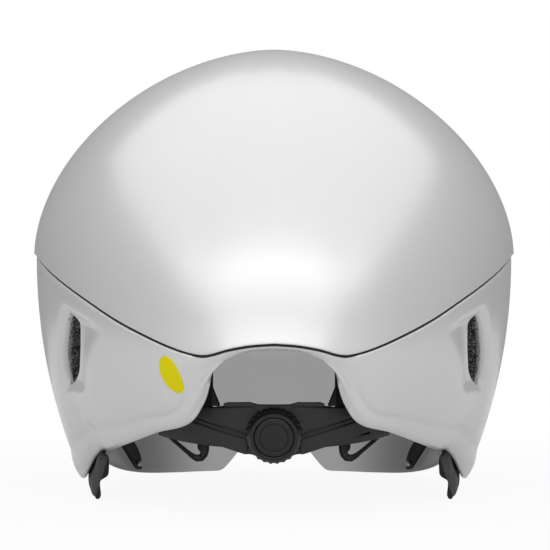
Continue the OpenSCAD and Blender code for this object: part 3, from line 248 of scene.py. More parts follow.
def relief(s, t):
    """How far the lower shell stands up: a soft panel on each side, and a roll along its foot."""
    s = np.abs(s)
    panel = ramp(s, curve(PANEL_EDGE, t), PANEL_STEP) * (1 - ramp(t, *PANEL_FOOT))
    roll = np.sin(np.pi * np.clip((t - ROLL_FROM) / (1 - ROLL_FROM), 0, 1)) ** ROLL_POWER
    return PANEL_RISE * panel * (1 - ramp(s, *PANEL_FRONT)) + ROLL_RISE * roll * ramp(s, *ROLL_REAR)


def low_wall(s, t):
    """The lower shell's thickness, which is less round the exhaust opening."""
    return LOWER_WALL - DISH_THINS * dish(np.abs(s), t) / DISH_DEEP


def low_inset(s, t, d):
    """A point d under the lower shell's right side."""
    return low_form(s, t) - (dish(s, t) + d)[..., None] * low_normal(s, t)


def side_inset(s, t, d):
    """The same on either side, by the sign of s."""
    p = low_inset(np.abs(s), t, d * np.ones_like(s * t))
    return p * xyz(np.sign(s * np.ones_like(t)), 1, 1)


def lens_low(a):
    return SEAM_Z * np.maximum(0, curve(LENS_LOW_SHARES, turn(a)))


def lens_plan(a, z):
    width, front = curve(LENS_W_SHARES, z / SEAM_Z), curve(LENS_F_SHARES, z / SEAM_Z)
    return plan(a, HALF_W * width, BROW_LEN * front, TAIL_LEN)


def lens_high(a):
    return seam(a, SEAM_SHARES) - LIP_GAP


def lens_point(a, t):
    z = mix(lens_high(a), lens_low(a), t)
    x, y = lens_plan(a, z)
    return xyz(x, y, z)


def lens_inset(a, t, d):
    a, t = np.broadcast_arrays(np.asarray(a, float), np.asarray(t, float))
    return lens_point(a, t) + d * normal_of(lens_point, a, t, NORMAL_TURN, FINE)


def lens_share(a, z):
    return (lens_high(a) - z) / (lens_high(a) - lens_low(a))


def hollow_plan(a, d):
    return plan(a, HOLLOW_W - d, HOLLOW_L - d, HOLLOW_L - d, REAR_ROUND, REAR_ROUND)


def hollow_point(a, z, d):
    rise = np.maximum(0, z - HOLLOW_BASE) / (HOLLOW_TOP - d - HOLLOW_BASE)
    rho = np.maximum(0, 1 - rise**HOLLOW_ROUND) ** (1 / HOLLOW_ROUND)
    x, y = hollow_plan(a, d)
    return xyz(x * rho, y * rho, z)


def hollow_height(start, d, f):
    rise = np.maximum(0, start - HOLLOW_BASE) / (HOLLOW_TOP - d - HOLLOW_BASE)
    phi = mix(np.degrees(np.arcsin(rise ** (HOLLOW_ROUND / 2))), 90, f)
    return HOLLOW_BASE + (HOLLOW_TOP - d - HOLLOW_BASE) * sind(phi) ** (2 / HOLLOW_ROUND)


def place(share):
    return np.array([HALF_W * share[0], TAIL_LEN * share[1], SEAM_Z * share[2]])


# Mesh making


def linked(name, data):
    """An object of the data, in the scene."""
    obj = bpy.data.objects.new(name, data)
    bpy.context.scene.collection.objects.link(obj)
    return obj


def moved(points, stand):
    """Points carried to a 4x4 place."""
    m = np.array(stand)
    return points @ m[:3, :3].T + m[:3, 3]


def facing(p, n):
    """A 4x4 place at p whose local Z runs along n."""
    return (Matrix.Translation(p.tolist()) @ Matrix.Rotation(math.atan2(n[1], n[0]), 4, "Z")
            @ Matrix.Rotation(math.pi / 2 - math.asin(n[2]), 4, "Y"))


def about(angle, axis):
    """A 4x4 turn by an angle about an axis."""
    return Matrix.Rotation(math.radians(angle), 4, axis)


def whole_turn(count):
    """Evenly spaced angles round a whole turn."""
    return np.arange(count) * 360 / count


def grid(rows, cols):
    """Row and column numbers of a grid, as two arrays."""
    return np.meshgrid(np.arange(rows), np.arange(cols), indexing="ij")


def sheet_quads(rows, cols, wrap):
    i, j = grid(rows - 1, cols if wrap else cols - 1)
    a = i * cols + j
    b = i * cols + (j + 1) % cols
    return np.stack([a, b, b + cols, a + cols], -1).reshape(-1, 4).tolist()


def make_object(name, points_mm, faces, uv=None):
    """A mesh object from points in millimetres, with its faces turned outwards."""
    points = np.asarray(points_mm, float).reshape(-1, 3) * MM
    mesh = bpy.data.meshes.new(name)
    mesh.from_pydata(points.tolist(), [], faces)
    if uv is not None:
        layer = mesh.uv_layers.new(name="UVMap")
        corners = np.empty(len(mesh.loops), np.int32)
        mesh.loops.foreach_get("vertex_index", corners)
        layer.data.foreach_set("uv", np.asarray(uv, np.float32).reshape(-1, 2)[corners].ravel())
    if volume_of(points, faces) < 0:
        mesh.flip_normals()
    return linked(name, mesh)


def volume_of(points, faces):
    total = 0.0
    for size in {len(f) for f in faces}:
        corners = points[np.array([f for f in faces if len(f) == size])]
        for k in range(1, size - 1):
            sides = np.cross(corners[:, k], corners[:, k + 1])
            total += np.einsum("ij,ij->i", corners[:, 0], sides).sum()
    return total / 6


def both_sheets(rows, cols, wrap):
    """Faces of an outer sheet and of the inner one, turned the other way."""
    quads = sheet_quads(rows, cols, wrap)
    return quads + [[rows * cols + k for k in reversed(q)] for q in quads]


def wall(edge, n):
    """Faces between an edge of the outer sheet and the same edge of the inner one, n points on."""
    return [[a, a + n, b + n, b] for a, b in zip(edge, edge[1:])]


def slab(name, outer, inner, uv=None):
    """A patch with thickness, from its outer and inner grid of points."""
    rows, cols = outer.shape[:2]
    n = rows * cols
    faces = both_sheets(rows, cols, False)
    bottom = list(range(cols))
    top = list(range(n - 1, n - cols - 1, -1))
    first = list(range(n - cols, -1, -cols))
    last = list(range(cols - 1, n, cols))
    for edge in (bottom, top, first, last):
        faces += wall(edge, n)
    points = np.concatenate([outer.reshape(-1, 3), inner.reshape(-1, 3)])
    return make_object(name, points, faces, None if uv is None else np.concatenate([uv, uv]))


def fan(start, cols, tip, flip=False):
    """Triangles from a ring of points to its tip."""
    ring = [start + k for k in (*range(cols), 0)]
    return [[b, a, tip] if flip else [a, b, tip] for a, b in zip(ring, ring[1:])]


def bowl(name, outer, inner, outer_top, inner_top):
    """A closed bowl from two grids of rings, each ending in one point."""
    rows, cols = outer.shape[:2]
    n = rows * cols
    faces = both_sheets(rows, cols, True) + wall([*range(cols), 0], n)
    faces += fan(n - cols, cols, 2 * n) + fan(2 * n - cols, cols, 2 * n + 1, True)
    points = np.concatenate([outer.reshape(-1, 3), inner.reshape(-1, 3), [outer_top, inner_top]])
    return make_object(name, points, faces)


def skin(name, loops, uv=None):
    """A solid through a row of closed loops."""
    rows, cols = loops.shape[:2]
    faces = sheet_quads(rows, cols, True)
    faces += [list(range(cols - 1, -1, -1)), list(range((rows - 1) * cols, rows * cols))]
    return make_object(name, loops, faces, uv)


def settle(obj):
    """Makes the object's modifiers part of its mesh."""
    bpy.context.view_layer.update()
    evaluated = obj.evaluated_get(bpy.context.evaluated_depsgraph_get())
    mesh = bpy.data.meshes.new_from_object(evaluated)
    old = obj.data
    obj.modifiers.clear()
    obj.data = mesh
    bpy.data.meshes.remove(old)
    return obj


def rounded(obj, width_mm, segments=3, angle=40):
    """Rounds the object's hard edges."""
    bevel = obj.modifiers.new("Rounded edges", "BEVEL")
    bevel.width = width_mm * MM
    bevel.segments = segments
    bevel.limit_method = "ANGLE"
    bevel.angle_limit = math.radians(angle)
    bevel.use_clamp_overlap = False
    return settle(obj)


def carved(obj, tools):
    """Cuts the tools out of the object and removes them."""
    for tool in tools:
        cut = obj.modifiers.new("Cut", "BOOLEAN")
        cut.operation = "DIFFERENCE"
        cut.solver = "EXACT"
        cut.object = tool
    settle(obj)
    for tool in tools:
        bpy.data.objects.remove(tool)
    return obj


def smooth(obj, angle=35):
    obj.data.polygons.foreach_set("use_smooth", np.ones(len(obj.data.polygons), bool))
    obj.data.set_sharp_from_angle(angle=math.radians(angle))
    obj.data.update()
    return obj


def joined(name, parts):
    """One object from several that share a finish."""
    target = bmesh.new()
    for part in parts:
        part.data.transform(part.matrix_world)
        target.from_mesh(part.data)
    mesh = bpy.data.meshes.new(name)
    target.to_mesh(mesh)
    target.free()
    for part in parts:
        bpy.data.objects.remove(part)
    return linked(name, mesh)


def mirrored(obj, name):
    """The same piece on the other side, with its faces outwards."""
    mesh = obj.data.copy()
    mesh.transform(Matrix.Scale(-1, 4, (1, 0, 0)))
    mesh.flip_normals()
    return linked(name, mesh)


def with_mirror(tool):
    return [tool, mirrored(tool, tool.name + "_left")]


def closed_line(points, count):
    """A smooth closed line through the points, as count points."""
    p = np.asarray(points, float)
    t = np.arange(count) * len(p) / count
    k = t.astype(int)
    h = (t - k)[:, None]
    a, b, c, d = (p[(k + m) % len(p)] for m in (-1, 0, 1, 2))
    return b + 0.5 * h * (c - a + h * (2 * a - 5 * b + 4 * c - d + h * (3 * (b - c) + d - a)))


def prism(name, outline, depth0, depth1, stand):
    """A straight bar of the outline, along the local Z of a 4x4 place."""
    outline = np.asarray(outline, float)
    flat = np.ones(len(outline))
    loops = np.stack([xyz(outline[:, 0], outline[:, 1], flat * d) for d in (depth0, depth1)])
    return skin(name, moved(loops, stand))


def lathe(name, profile, stand, steps):
    """A turned body from (radius, height) rows, closed on its axis."""
    profile = np.asarray(profile, float)
    a = whole_turn(steps)
    body = profile[1:-1]
    loops = xyz(body[:, :1] * cosd(a), body[:, :1] * sind(a), body[:, 1:] * np.ones(steps))
    n = len(body) * steps
    faces = sheet_quads(len(body), steps, True) + fan(0, steps, n, True) + fan(n - steps, steps, n + 1)
    ends = np.array([[0, 0, profile[0, 1]], [0, 0, profile[-1, 1]]])
    return make_object(name, moved(np.concatenate([loops.reshape(-1, 3), ends]), stand), faces)


def softened(node, name, width_mm, angle=30):
    """A CAD node's own form with its hard edges rounded."""
    bm = bmesh.new()
    bm.from_mesh(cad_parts[node].data)
    bmesh.ops.remove_doubles(bm, verts=bm.verts, dist=MERGE_AT)
    bmesh.ops.dissolve_limit(bm, angle_limit=math.radians(1), verts=bm.verts, edges=bm.edges)
    mesh = bpy.data.meshes.new(name)
    bm.to_mesh(mesh)
    bm.free()
    return smooth(rounded(linked(name, mesh), width_mm, 2, angle), angle)


def along(path, count):
    """Evenly spaced points of a smooth open line through rows of numbers."""
    places = np.concatenate([[0], np.cumsum(np.linalg.norm(np.diff(path[:, :3], axis=0), axis=1))])
    t = np.linspace(0, places[-1], count)
    return np.stack([curve(list(zip(places, path[:, c])), t) for c in range(path.shape[1])], -1), t


def sweep(name, path, section, count, spread):
    """A section of (across, up) rows carried along rows of a place and the direction of its width."""
    rows, t = along(path, count)
    p, w = rows[:, :3], rows[:, 3:]
    d = unit(np.gradient(p, axis=0))
    w = unit(w - (w * d).sum(-1, keepdims=True) * d)
    n = np.cross(d, w)
    loops = p[:, None] + section[:, 0][:, None] * w[:, None] + section[:, 1][:, None] * n[:, None]
    across = (section[:, 0] - section[:, 0].min()) / np.ptp(section[:, 0])
    uv = np.stack(np.broadcast_arrays(across[None, :], t[:, None] * spread), -1)
    return skin(name, loops, uv.reshape(-1, 2)), p, w, n


# Materials


class Field:
    """The value of a node's socket. Python's own operators add its Math nodes."""

    def __init__(self, nodes, socket):
        self.nodes = nodes
        self.socket = socket

    def math(self, operation, *values):
        return self.nodes.node("ShaderNodeMath", {"operation": operation}, dict(enumerate(values)))

    def __add__(self, other):
        return self.math("ADD", self, other)

    __radd__ = __add__

    def __sub__(self, other):
        return self.math("SUBTRACT", self, other)

    def __rsub__(self, other):
        return self.math("SUBTRACT", other, self)

    def __mul__(self, other):
        return self.math("MULTIPLY", self, other)

    __rmul__ = __mul__

    def __abs__(self):
        return self.math("ABSOLUTE", self)

    def wave(self, length):
        """A sine of this value, from 0 to 1, that repeats at the length."""
        return self.math("SINE", self * (2 * math.pi / length)) * 0.5 + 0.5

    def steps(self, low, high):
        """0 below low, 1 above high, and smooth between them."""
        return self.nodes.node("ShaderNodeMapRange", {"interpolation_type": "SMOOTHSTEP"},
                               {"Value": self, "From Min": low, "From Max": high})

    def output(self, name):
        """Another output of the node that this value comes from."""
        return Field(self.nodes, self.socket.node.outputs[name])


class Nodes:
    """A tree of nodes, made node by node."""

    def __init__(self, tree):
        self.tree = tree
        tree.nodes.clear()

    def fill(self, socket, value):
        """Gives a socket a field or a value of its own."""
        if isinstance(value, Field):
            self.tree.links.new(value.socket, socket)
        elif hasattr(value, "__len__") and len(value) == 3 and socket.type == "RGBA":
            socket.default_value = (*value, 1)
        else:
            socket.default_value = value

    def node(self, kind, settings=(), values=(), output=0):
        """Any node: its settings first, then the values or links of its sockets."""
        made = self.tree.nodes.new(kind)
        for key, value in dict(settings).items():
            setattr(made, key, value)
        for key, value in dict(values).items():
            self.fill(made.inputs[key], value)
        return Field(self, made.outputs[output]) if made.outputs else None


class Finish(Nodes):
    """One material round one principled surface."""

    def __init__(self, name, **numbers):
        self.material = bpy.data.materials.new(name)
        self.material.use_nodes = True
        super().__init__(self.material.node_tree)
        shader = self.node("ShaderNodeBsdfPrincipled")
        self.surface = shader.socket.node
        self.node("ShaderNodeOutputMaterial", (), {"Surface": shader})
        for key, value in numbers.items():
            self.set(key.replace("_", " ").title().replace("Ior", "IOR"), value)

    def set(self, socket, value):
        self.fill(self.surface.inputs[socket], value)

    def place(self, output="Object"):
        return self.node("ShaderNodeTexCoord", output=output)

    def part(self, vector, axis):
        return self.node("ShaderNodeSeparateXYZ", (), {0: vector}, axis)

    def stretched(self, vector, scale):
        """The place in other units, with its own scale on each axis."""
        return self.node("ShaderNodeMapping", (), {"Vector": vector, "Scale": scale})

    def noise(self, vector, size_mm, detail=2.0):
        values = {"Vector": vector, "Scale": 1 / (size_mm * MM), "Detail": detail}
        return self.node("ShaderNodeTexNoise", (), values)

    def cells(self, vector, size_mm, feature="F1", randomness=1.0):
        values = {"Vector": vector, "Scale": 1 / (size_mm * MM), "Randomness": randomness}
        return self.node("ShaderNodeTexVoronoi", {"feature": feature}, values)

    def tone(self, factor, low, high):
        """A colour between two, by a factor."""
        return self.node("ShaderNodeMix", {"data_type": "RGBA"},
                         {"Factor": factor, 6: (*low, 1), 7: (*high, 1)}, 2)

    def bump(self, height, depth_mm):
        values = {"Height": height, "Distance": depth_mm * MM}
        self.set("Normal", self.node("ShaderNodeBump", (), values))


def grey(v):
    return (v, v, v)


# Where a finish changes over a piece, in metres: a plane near the side foam's outer rim, past which it
# shows pale bead spots, the ear flap's lit outer half and ribbed end, its inner half darkened as
# painted shade, and the lens's sides, darkened as painted shade for the longer slanted path through
# them
RIM_PLANE, PALE_RIM = (0.925, -0.379, -0.25), (0.0952, 0.0960)
FLAP_LEAN, FLAP_LIT_OUTER, FLAP_RIBBED = 0.33, (0.0886, 0.0892), (0.010, 0.017)
RIB_LEAN, RIB_PITCH = 0.45, 0.0013
LENS_SHADED_SIDE = (0.03, 0.075)


def shell_finish(look):
    """White lacquer with a faint orange peel under a clear coat."""
    f = Finish("shell_lacquer", metallic=0.25, coat_roughness=0.2, specular_ior_level=0.4)
    p = f.place()
    broad = f.noise(p, 46, 3)
    c = tuple(look.shell_colour)
    f.set("Base Color", f.tone(broad, tuple(v * 0.975 for v in c), c))
    f.set("Roughness", 0.30 + 0.06 * f.noise(p, 9, 2))
    f.set("Coat Weight", 0.8 + 0.2 * broad)
    f.bump(f.noise(p, 2.6, 1), 0.012)
    return f.material


def foam_finish():
    """Expanded foam: pressed beads with darker joints."""
    f = Finish("foam_beads", specular_ior_level=0.35)
    p = f.place()
    beads = f.cells(p, 2.0)
    joints = f.cells(p, 2.0, "DISTANCE_TO_EDGE").steps(0.0, 0.22)
    tint = f.node("ShaderNodeSeparateColor", (), {0: beads.output("Color")})
    x, y, z = (f.part(p, k) for k in range(3))
    # Pale bead spots past a plane near the side foam's outer rim
    rim = (abs(x) * RIM_PLANE[0] + y * RIM_PLANE[1] + z * RIM_PLANE[2]).steps(*PALE_RIM)
    cut = rim * f.cells(p, 0.9).steps(0.25, 0.6)
    shade = joints * (0.35 + 0.25 * tint) * (1 - cut) + cut
    f.set("Base Color", f.tone(shade, grey(0.006), grey(0.42)))
    f.set("Roughness", 0.82 - 0.3 * tint * joints)
    f.bump(joints * 0.8 + 0.2 * f.noise(p, 0.5), 0.32)
    return f.material


def moulded_finish(name, base, rough, grain_mm=0.55, depth=0.02):
    """Moulded plastic with a fine spark-eroded grain."""
    f = Finish(name, specular_ior_level=0.45)
    p = f.place()
    grain = f.noise(p, grain_mm, 2)
    rub = f.noise(p, 14, 3)
    f.set("Base Color", f.tone(rub, grey(base * 0.82), grey(base * 1.18)))
    f.set("Roughness", rough - 0.06 + 0.12 * rub)
    f.bump(grain, depth)
    return f.material


def flap_finish():
    """Soft grey rubber with fine ribs over its upper end."""
    f = Finish("flap_rubber", specular_ior_level=0.35)
    p = f.place()
    x, y, z = (f.part(p, k) for k in range(3))
    upper = z.steps(*FLAP_RIBBED)
    ribs = (z + RIB_LEAN * y).wave(RIB_PITCH)
    # Painted shade: the flap's inner half is darkened to a tenth of its grey; only the lit outer half
    # keeps it
    lit = (abs(x) + z * FLAP_LEAN).steps(*FLAP_LIT_OUTER)
    weave = 0.4 + 0.4 * f.noise(p, 1.1, 3) + 0.2 * (ribs * upper)
    f.set("Base Color", f.tone(weave * (0.1 + 0.9 * lit), grey(0.012), grey(0.15)))
    f.set("Roughness", 0.62 + 0.1 * f.noise(p, 6))
    f.bump(ribs * upper + 0.25 * f.noise(p, 0.6), 0.12)
    return f.material


def web_finish():
    """Black webbing: a herringbone weave across its width."""
    f = Finish("webbing_weave", sheen_weight=0.25, sheen_roughness=0.5, specular_ior_level=0.3)
    p = f.place("UV")
    across, run = f.part(p, 0), f.part(p, 1)
    fold = f.node("ShaderNodeMath", {"operation": "PINGPONG"}, {0: across, 1: 0.25})
    yarn = (run * 0.5 + fold * 3.2).wave(0.13)
    edge = abs(across - 0.5).steps(0.43, 0.48)
    f.set("Base Color", f.tone(yarn * (1 - edge * 0.5), grey(0.008), grey(0.034)))
    f.set("Roughness", 0.78 + 0.1 * yarn)
    f.bump(yarn * (1 - edge), 0.16)
    return f.material


def cloth_finish(look):
    """Padding cover: a knitted spacer cloth with small round openings."""
    f = Finish("pad_cloth", sheen_weight=0.4, sheen_roughness=0.45, specular_ior_level=0.25)
    p = f.place()
    holes = f.cells(p, 1.25, "F1", 0.25).steps(0.16, 0.42)
    fuzz = f.noise(p, 0.35, 2)
    f.set("Base Color", f.tone(holes * (0.55 + 0.45 * fuzz), grey(0.010), tuple(look.cloth_colour)))
    f.set("Roughness", 0.86 + 0.1 * fuzz)
    f.bump(holes * 0.8 + fuzz * 0.35, 0.22)
    return f.material


def liner_finish():
    """Thin low-friction sheet, slightly waxy."""
    f = Finish("liner_sheet", specular_ior_level=0.5)
    p = f.place()
    cloud = f.noise(p, 22, 4)
    f.set("Base Color", f.tone(cloud, grey(0.020), grey(0.042)))
    f.set("Roughness", 0.32 + 0.16 * cloud)
    f.bump(f.noise(p, 5, 2), 0.05)
    return f.material


def label_finish(look):
    """Printed film with a fine tooth."""
    f = Finish("label_film", specular_ior_level=0.15)
    p = f.place()
    c = tuple(look.label_colour)
    f.set("Base Color", f.tone(f.noise(p, 5, 3), tuple(v * 0.96 for v in c), c))
    f.set("Roughness", 0.36 + 0.08 * f.noise(p, 1.5))
    f.bump(f.noise(p, 0.8), 0.01)
    return f.material


def lens_finish(look):
    """Smoked lens: clearer in the middle of the view, denser towards its sides."""
    f = Finish("lens_smoke", base_color=tuple(look.lens_colour), specular_ior_level=0.5)
    p = f.place()
    # Painted shade: the lens covers more towards its sides, for the longer slanted path that a view
    # takes through them
    side = abs(f.part(p, 0)).steps(*LENS_SHADED_SIDE)
    f.set("Alpha", look.lens_density + (look.lens_sides - look.lens_density) * side)
    f.set("Roughness", 0.05 + 0.05 * f.noise(p, 18, 3))
    f.bump(f.noise(p, 30, 1), 0.01)
    return f.material


def steel_finish():
    """Plated steel with a brushed grain."""
    f = Finish("plated_steel", metallic=1.0)
    p = f.place()
    brush = f.noise(f.stretched(p, (1, 1, 0.08)), 0.7, 2)
    f.set("Base Color", f.tone(brush, grey(0.46), grey(0.62)))
    f.set("Roughness", 0.24 + 0.14 * brush)
    f.bump(brush, 0.008)
    return f.material


FINISHES = {}


def finishes():
    """Every material of the helmet by the name of its slot, made once."""
    if not FINISHES:
        look = bpy.context.scene.helmet_look
        FINISHES.update({
            "shell_white": shell_finish(look),
            "foam_black": foam_finish(),
            "rubber_black": moulded_finish("seal_rubber", 0.014, 0.72, 0.8, 0.03),
            "plastic_black": moulded_finish("moulded_black", look.plastic_tone, 0.46),
            "dial_black": moulded_finish("dial_black", look.dial_tone, 0.36, 0.45, 0.014),
            "flap_grey": flap_finish(),
            "webbing": web_finish(),
            "pad_cloth": cloth_finish(look),
            "liner_dark": liner_finish(),
            "label_yellow": label_finish(look),
            "lens_clear": lens_finish(look),
            "steel": steel_finish(),
        })
    return FINISHES


def dress(obj, slot, body, *nodes):
    """Gives a piece its material, the body that it rides on and the CAD nodes that it stands for."""
    obj.data.materials.clear()
    obj.data.materials.append(finishes()[slot])
    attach(obj, body)
    if nodes:
        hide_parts(*nodes)
    return obj


def dress_pair(right, angle, slot, body, node):
    """Smooths a right piece, makes the left one from it, and dresses both."""
    smooth(right, angle)
    left = smooth(mirrored(right, right.name.replace("right", "left")), angle)
    dress(right, slot, body, node + "_right")
    dress(left, slot, body, node + "_left")


def repaint(node, slot):
    """Gives a CAD node that stays in view the material of its slot."""
    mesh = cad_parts[node].data
    mesh.materials.clear()
    mesh.materials.append(finishes()[slot])


# Geometry Nodes: what repeats


class Copies(Nodes):
    """A Geometry Nodes tree that sets copies of a small mesh on points, each turned along a heading."""

    def __init__(self, name, inputs, points_of, heading):
        super().__init__(bpy.data.node_groups.new(name, "GeometryNodeTree"))
        inputs = {"Geometry": "Geometry", **inputs, "Piece": "Object", "Material": "Material"}
        self.names = {label: self.socket(label, kind, "INPUT") for label, kind in inputs.items()}
        self.socket("Geometry", "Geometry", "OUTPUT")
        given = self.node("NodeGroupInput")
        points = points_of(self, given)
        piece = self.node("GeometryNodeObjectInfo", (), {"Object": given.output("Piece")}, "Geometry")
        turned = self.node("FunctionNodeAlignRotationToVector", {"axis": "X"},
                           {"Vector": self.node(heading)})
        copies = self.node("GeometryNodeInstanceOnPoints", (),
                           {0: points, "Instance": piece, "Rotation": turned})
        real = self.node("GeometryNodeRealizeInstances", (), {0: copies})
        painted = self.node("GeometryNodeSetMaterial", (),
                            {0: real, "Material": given.output("Material")})
        self.node("NodeGroupOutput", (), {0: painted})

    def socket(self, label, kind, side):
        """Adds an input or output to the tree and gives its identifier."""
        made = self.tree.interface.new_socket(name=label, in_out=side, socket_type="NodeSocket" + kind)
        return made.identifier

    def run(self, obj, **values):
        """Runs the tree on an object and makes the result its mesh."""
        modifier = obj.modifiers.new(self.tree.name, "NODES")
        modifier.node_group = self.tree
        for label, value in values.items():
            modifier[self.names[label]] = value
        return settle(obj)


def line_points(t, given):
    line = t.node("GeometryNodeMeshToCurve", (), {0: given.output("Geometry")})
    return t.node("GeometryNodeResampleCurve", {"mode": "LENGTH"},
                  {0: line, "Length": given.output("Pitch")})


def ring_points(t, given):
    return t.node("GeometryNodeMeshCircle", (),
                  {"Vertices": given.output("Count"), "Radius": given.output("Radius")})


# Stitches turn to follow their lines, and ribs face outwards.
COPIES = {
    "stitches": ("Run of stitches", {"Pitch": "Float"}, line_points, "GeometryNodeInputTangent"),
    "ribs": ("Ring of ribs", {"Count": "Int", "Radius": "Float"}, ring_points,
             "GeometryNodeInputPosition"),
}
TREES = {}


def copies_tree(name):
    """One of the trees, made once."""
    if name not in TREES:
        TREES[name] = Copies(*COPIES[name])
    return TREES[name]


# How far a pellet narrows at its ends, and how late
PELLET_END, PELLET_ROUND = 0.08, 3


def pellet(name, length, across, up, sides=6, rings=5):
    """A small rounded thread or rib along X."""
    k = np.linspace(-1, 1, rings)
    girth = np.sqrt(np.maximum(PELLET_END, 1 - np.abs(k) ** PELLET_ROUND))
    a = whole_turn(sides)
    loops = xyz((k * length / 2)[:, None] * np.ones(sides), girth[:, None] * cosd(a) * across / 2,
                girth[:, None] * sind(a) * up / 2)
    return smooth(skin(name, loops), 60)


def stitches(name, lines, body, pitch, length, thread):
    """Rows of stitches along lines of points in millimetres, as one piece."""
    points = np.concatenate([np.asarray(line, float) for line in lines])
    edges, start = [], 0
    for line in lines:
        edges += [(start + k, start + k + 1) for k in range(len(line) - 1)]
        start += len(line)
    mesh = bpy.data.meshes.new(name)
    mesh.from_pydata((points * MM).tolist(), edges, [])
    obj = linked(name, mesh)
    piece = pellet("stitch_thread", length, thread, thread)
    copies_tree("stitches").run(obj, Pitch=pitch * MM, Piece=piece, Material=finishes()["webbing"])
    bpy.data.objects.remove(piece)
    dress(smooth(obj, 60), "webbing", body)


# Shells

# Faces round and up each shell
CROWN_COLS, CROWN_ROWS = 240, 72
LOW_COLS, LOW_ROWS = 220, 56
# The intake over the brow, and the exhaust opening on each side: its place, size and outline
INTAKE_W, INTAKE_H, INTAKE_Z, INTAKE_ROUND = 66.0, 9.0, 148.0, 3.5
VENT_SPOT = (0.69, 0.385)
VENT_W, VENT_H, VENT_REACH = 38.0, 38.0, 20.0
VENT_SHARES = [(-0.21, 0.44), (-0.30, 0.385), (-0.36, 0.30), (-0.259, 0.047), (-0.112, -0.153),
               (0.032, -0.289), (0.27, -0.41), (0.47, -0.50), (0.545, -0.45), (0.52, -0.35),
               (0.375, -0.108), (0.168, 0.136), (-0.027, 0.362), (-0.13, 0.44)]
# The label's place on the lower shell, and its half width and half height
LABEL_SPOT, LABEL_R, LABEL_THICK, LABEL_LIFT = (0.357, 0.482), (5.1, 9.3), 0.4, 0.05
# The open joint above the lower shell, the radius of its hems, and how far the arch's flanks reach down
SEAM_OPEN, LOW_EDGE, FLANK_GROW, FLANK_FROM, FLANK_TO = 0.7, 0.8, 1.6, (0.22, 0.12), (0.37, 0.13)
# Painted shade: the dark strip in the joint's gap, its inset and its depths under the crown's lip
SEAM_SHADE_INSET, SEAM_SHADE_DEPTHS = 0.06, (1.2, 2.8)
# How near the top the last ring of a dome comes, and how the rings crowd towards its rim
POLE_SHARE, POLE_POWER = 0.992, 1.1


def pole_rows(count):
    return POLE_SHARE * (np.arange(count + 1) / count) ** POLE_POWER


def slot_bar(name, w, h, y0, y1, round_r):
    """A flat bar with rounded corners that runs front to back through the intake."""
    corners = []
    for quarter, (sx, sz) in enumerate(((1, 1), (-1, 1), (-1, -1), (1, -1))):
        for k in range(7):
            a = 90 * quarter + 15 * k
            corners.append((sx * (w / 2 - round_r) + round_r * cosd(a),
                            sz * (h / 2 - round_r) + round_r * sind(a)))
    stand = Matrix.Translation((0, 0, INTAKE_Z)) @ about(90, "X")
    return prism(name, corners, -y1, -y0, stand)


def vent_bar(name, grow, deep):
    """A bar of the right opening's outline, through the lower shell."""
    s, t = np.array(VENT_SPOT[0]), np.array(VENT_SPOT[1])
    n = low_normal(s, t)
    outline = closed_line(VENT_SHARES, 84) * [VENT_W + 2 * grow, VENT_H + 2 * grow]
    stand = (Matrix.Translation(low_form(s, t).tolist())
             @ Matrix.Rotation(math.atan2(n[1], n[0]), 4, "Z")
             @ about(90, "Z") @ about(90, "X"))
    return prism(name, outline, -deep, VENT_REACH, stand)


def make_crown():
    a = whole_turn(CROWN_COLS)[None, :]
    f = pole_rows(CROWN_ROWS)[:, None]
    a, f = np.broadcast_arrays(a, f)
    outer = dome_point(a, f)
    inner = dome_inset(a, f, CROWN_WALL)
    inner[0, :, 2] = outer[0, :, 2]
    crown = bowl("crown_lacquered", outer, inner, (0, TOP_Y, TOP_Z), (0, TOP_Y, TOP_Z - CROWN_WALL))
    rounded(crown, 0.55, 3, 50)
    carved(crown, [slot_bar("slot_tool", INTAKE_W, INTAKE_H, BROW_LEN / 2, 1.5 * BROW_LEN,
                            INTAKE_ROUND)])
    dress(smooth(crown), "shell_white", "helmet", "crown_shell")


def hemmed(name, outer, inner, hem):
    """A patch with thickness whose first and last rows end in a rounded hem."""
    def fold(side, nearer, from_in):
        run = hem * unit(outer[side] - outer[nearer])
        half = (outer[side] - inner[side]) / 2
        turns = (135, 90, 45) if from_in else (45, 90, 135)
        return [outer[side] - half + cosd(k) * half + sind(k) * run for k in turns]

    loops = np.stack([*outer, *fold(-1, -2, False), *inner[::-1], *fold(0, 1, True)], 1)
    cols, ring = loops.shape[:2]
    rows = len(outer)
    faces = sheet_quads(cols, ring, True)
    for first in (0, (cols - 1) * ring):
        back = first + 2 * rows + 2
        ends = [[first + k, first + k + 1, back - k - 1, back - k] for k in range(rows - 1)]
        ends += [list(range(first + rows - 1, first + rows + 4)), [*range(back, back + 4), first]]
        faces += [e[::-1] for e in ends] if first == 0 else ends
    return make_object(name, loops, faces)


def make_lower():
    s = np.linspace(-1, 1, LOW_COLS + 1)[None, :]
    height = np.linalg.norm(low_form(np.abs(s), 1) - low_form(np.abs(s), 0), axis=-1)
    flank = ramp(np.abs(s), *FLANK_FROM) * (1 - ramp(np.abs(s), *FLANK_TO))
    t = mix((LOW_EDGE + SEAM_OPEN) / height, 1 - (LOW_EDGE - FLANK_GROW * flank) / height,
            np.linspace(0, 1, LOW_ROWS + 1)[:, None])
    s = np.broadcast_to(s, t.shape)
    faces = side_inset(s, t, -relief(s, t)), side_inset(s, t, low_wall(s, t))
    lower = hemmed("lower_lacquered", *faces, LOW_EDGE)
    carved(lower, with_mirror(vent_bar("vent_tool", 0, VENT_REACH)))
    dress(smooth(lower, 50), "shell_white", "helmet", "lower_shell")


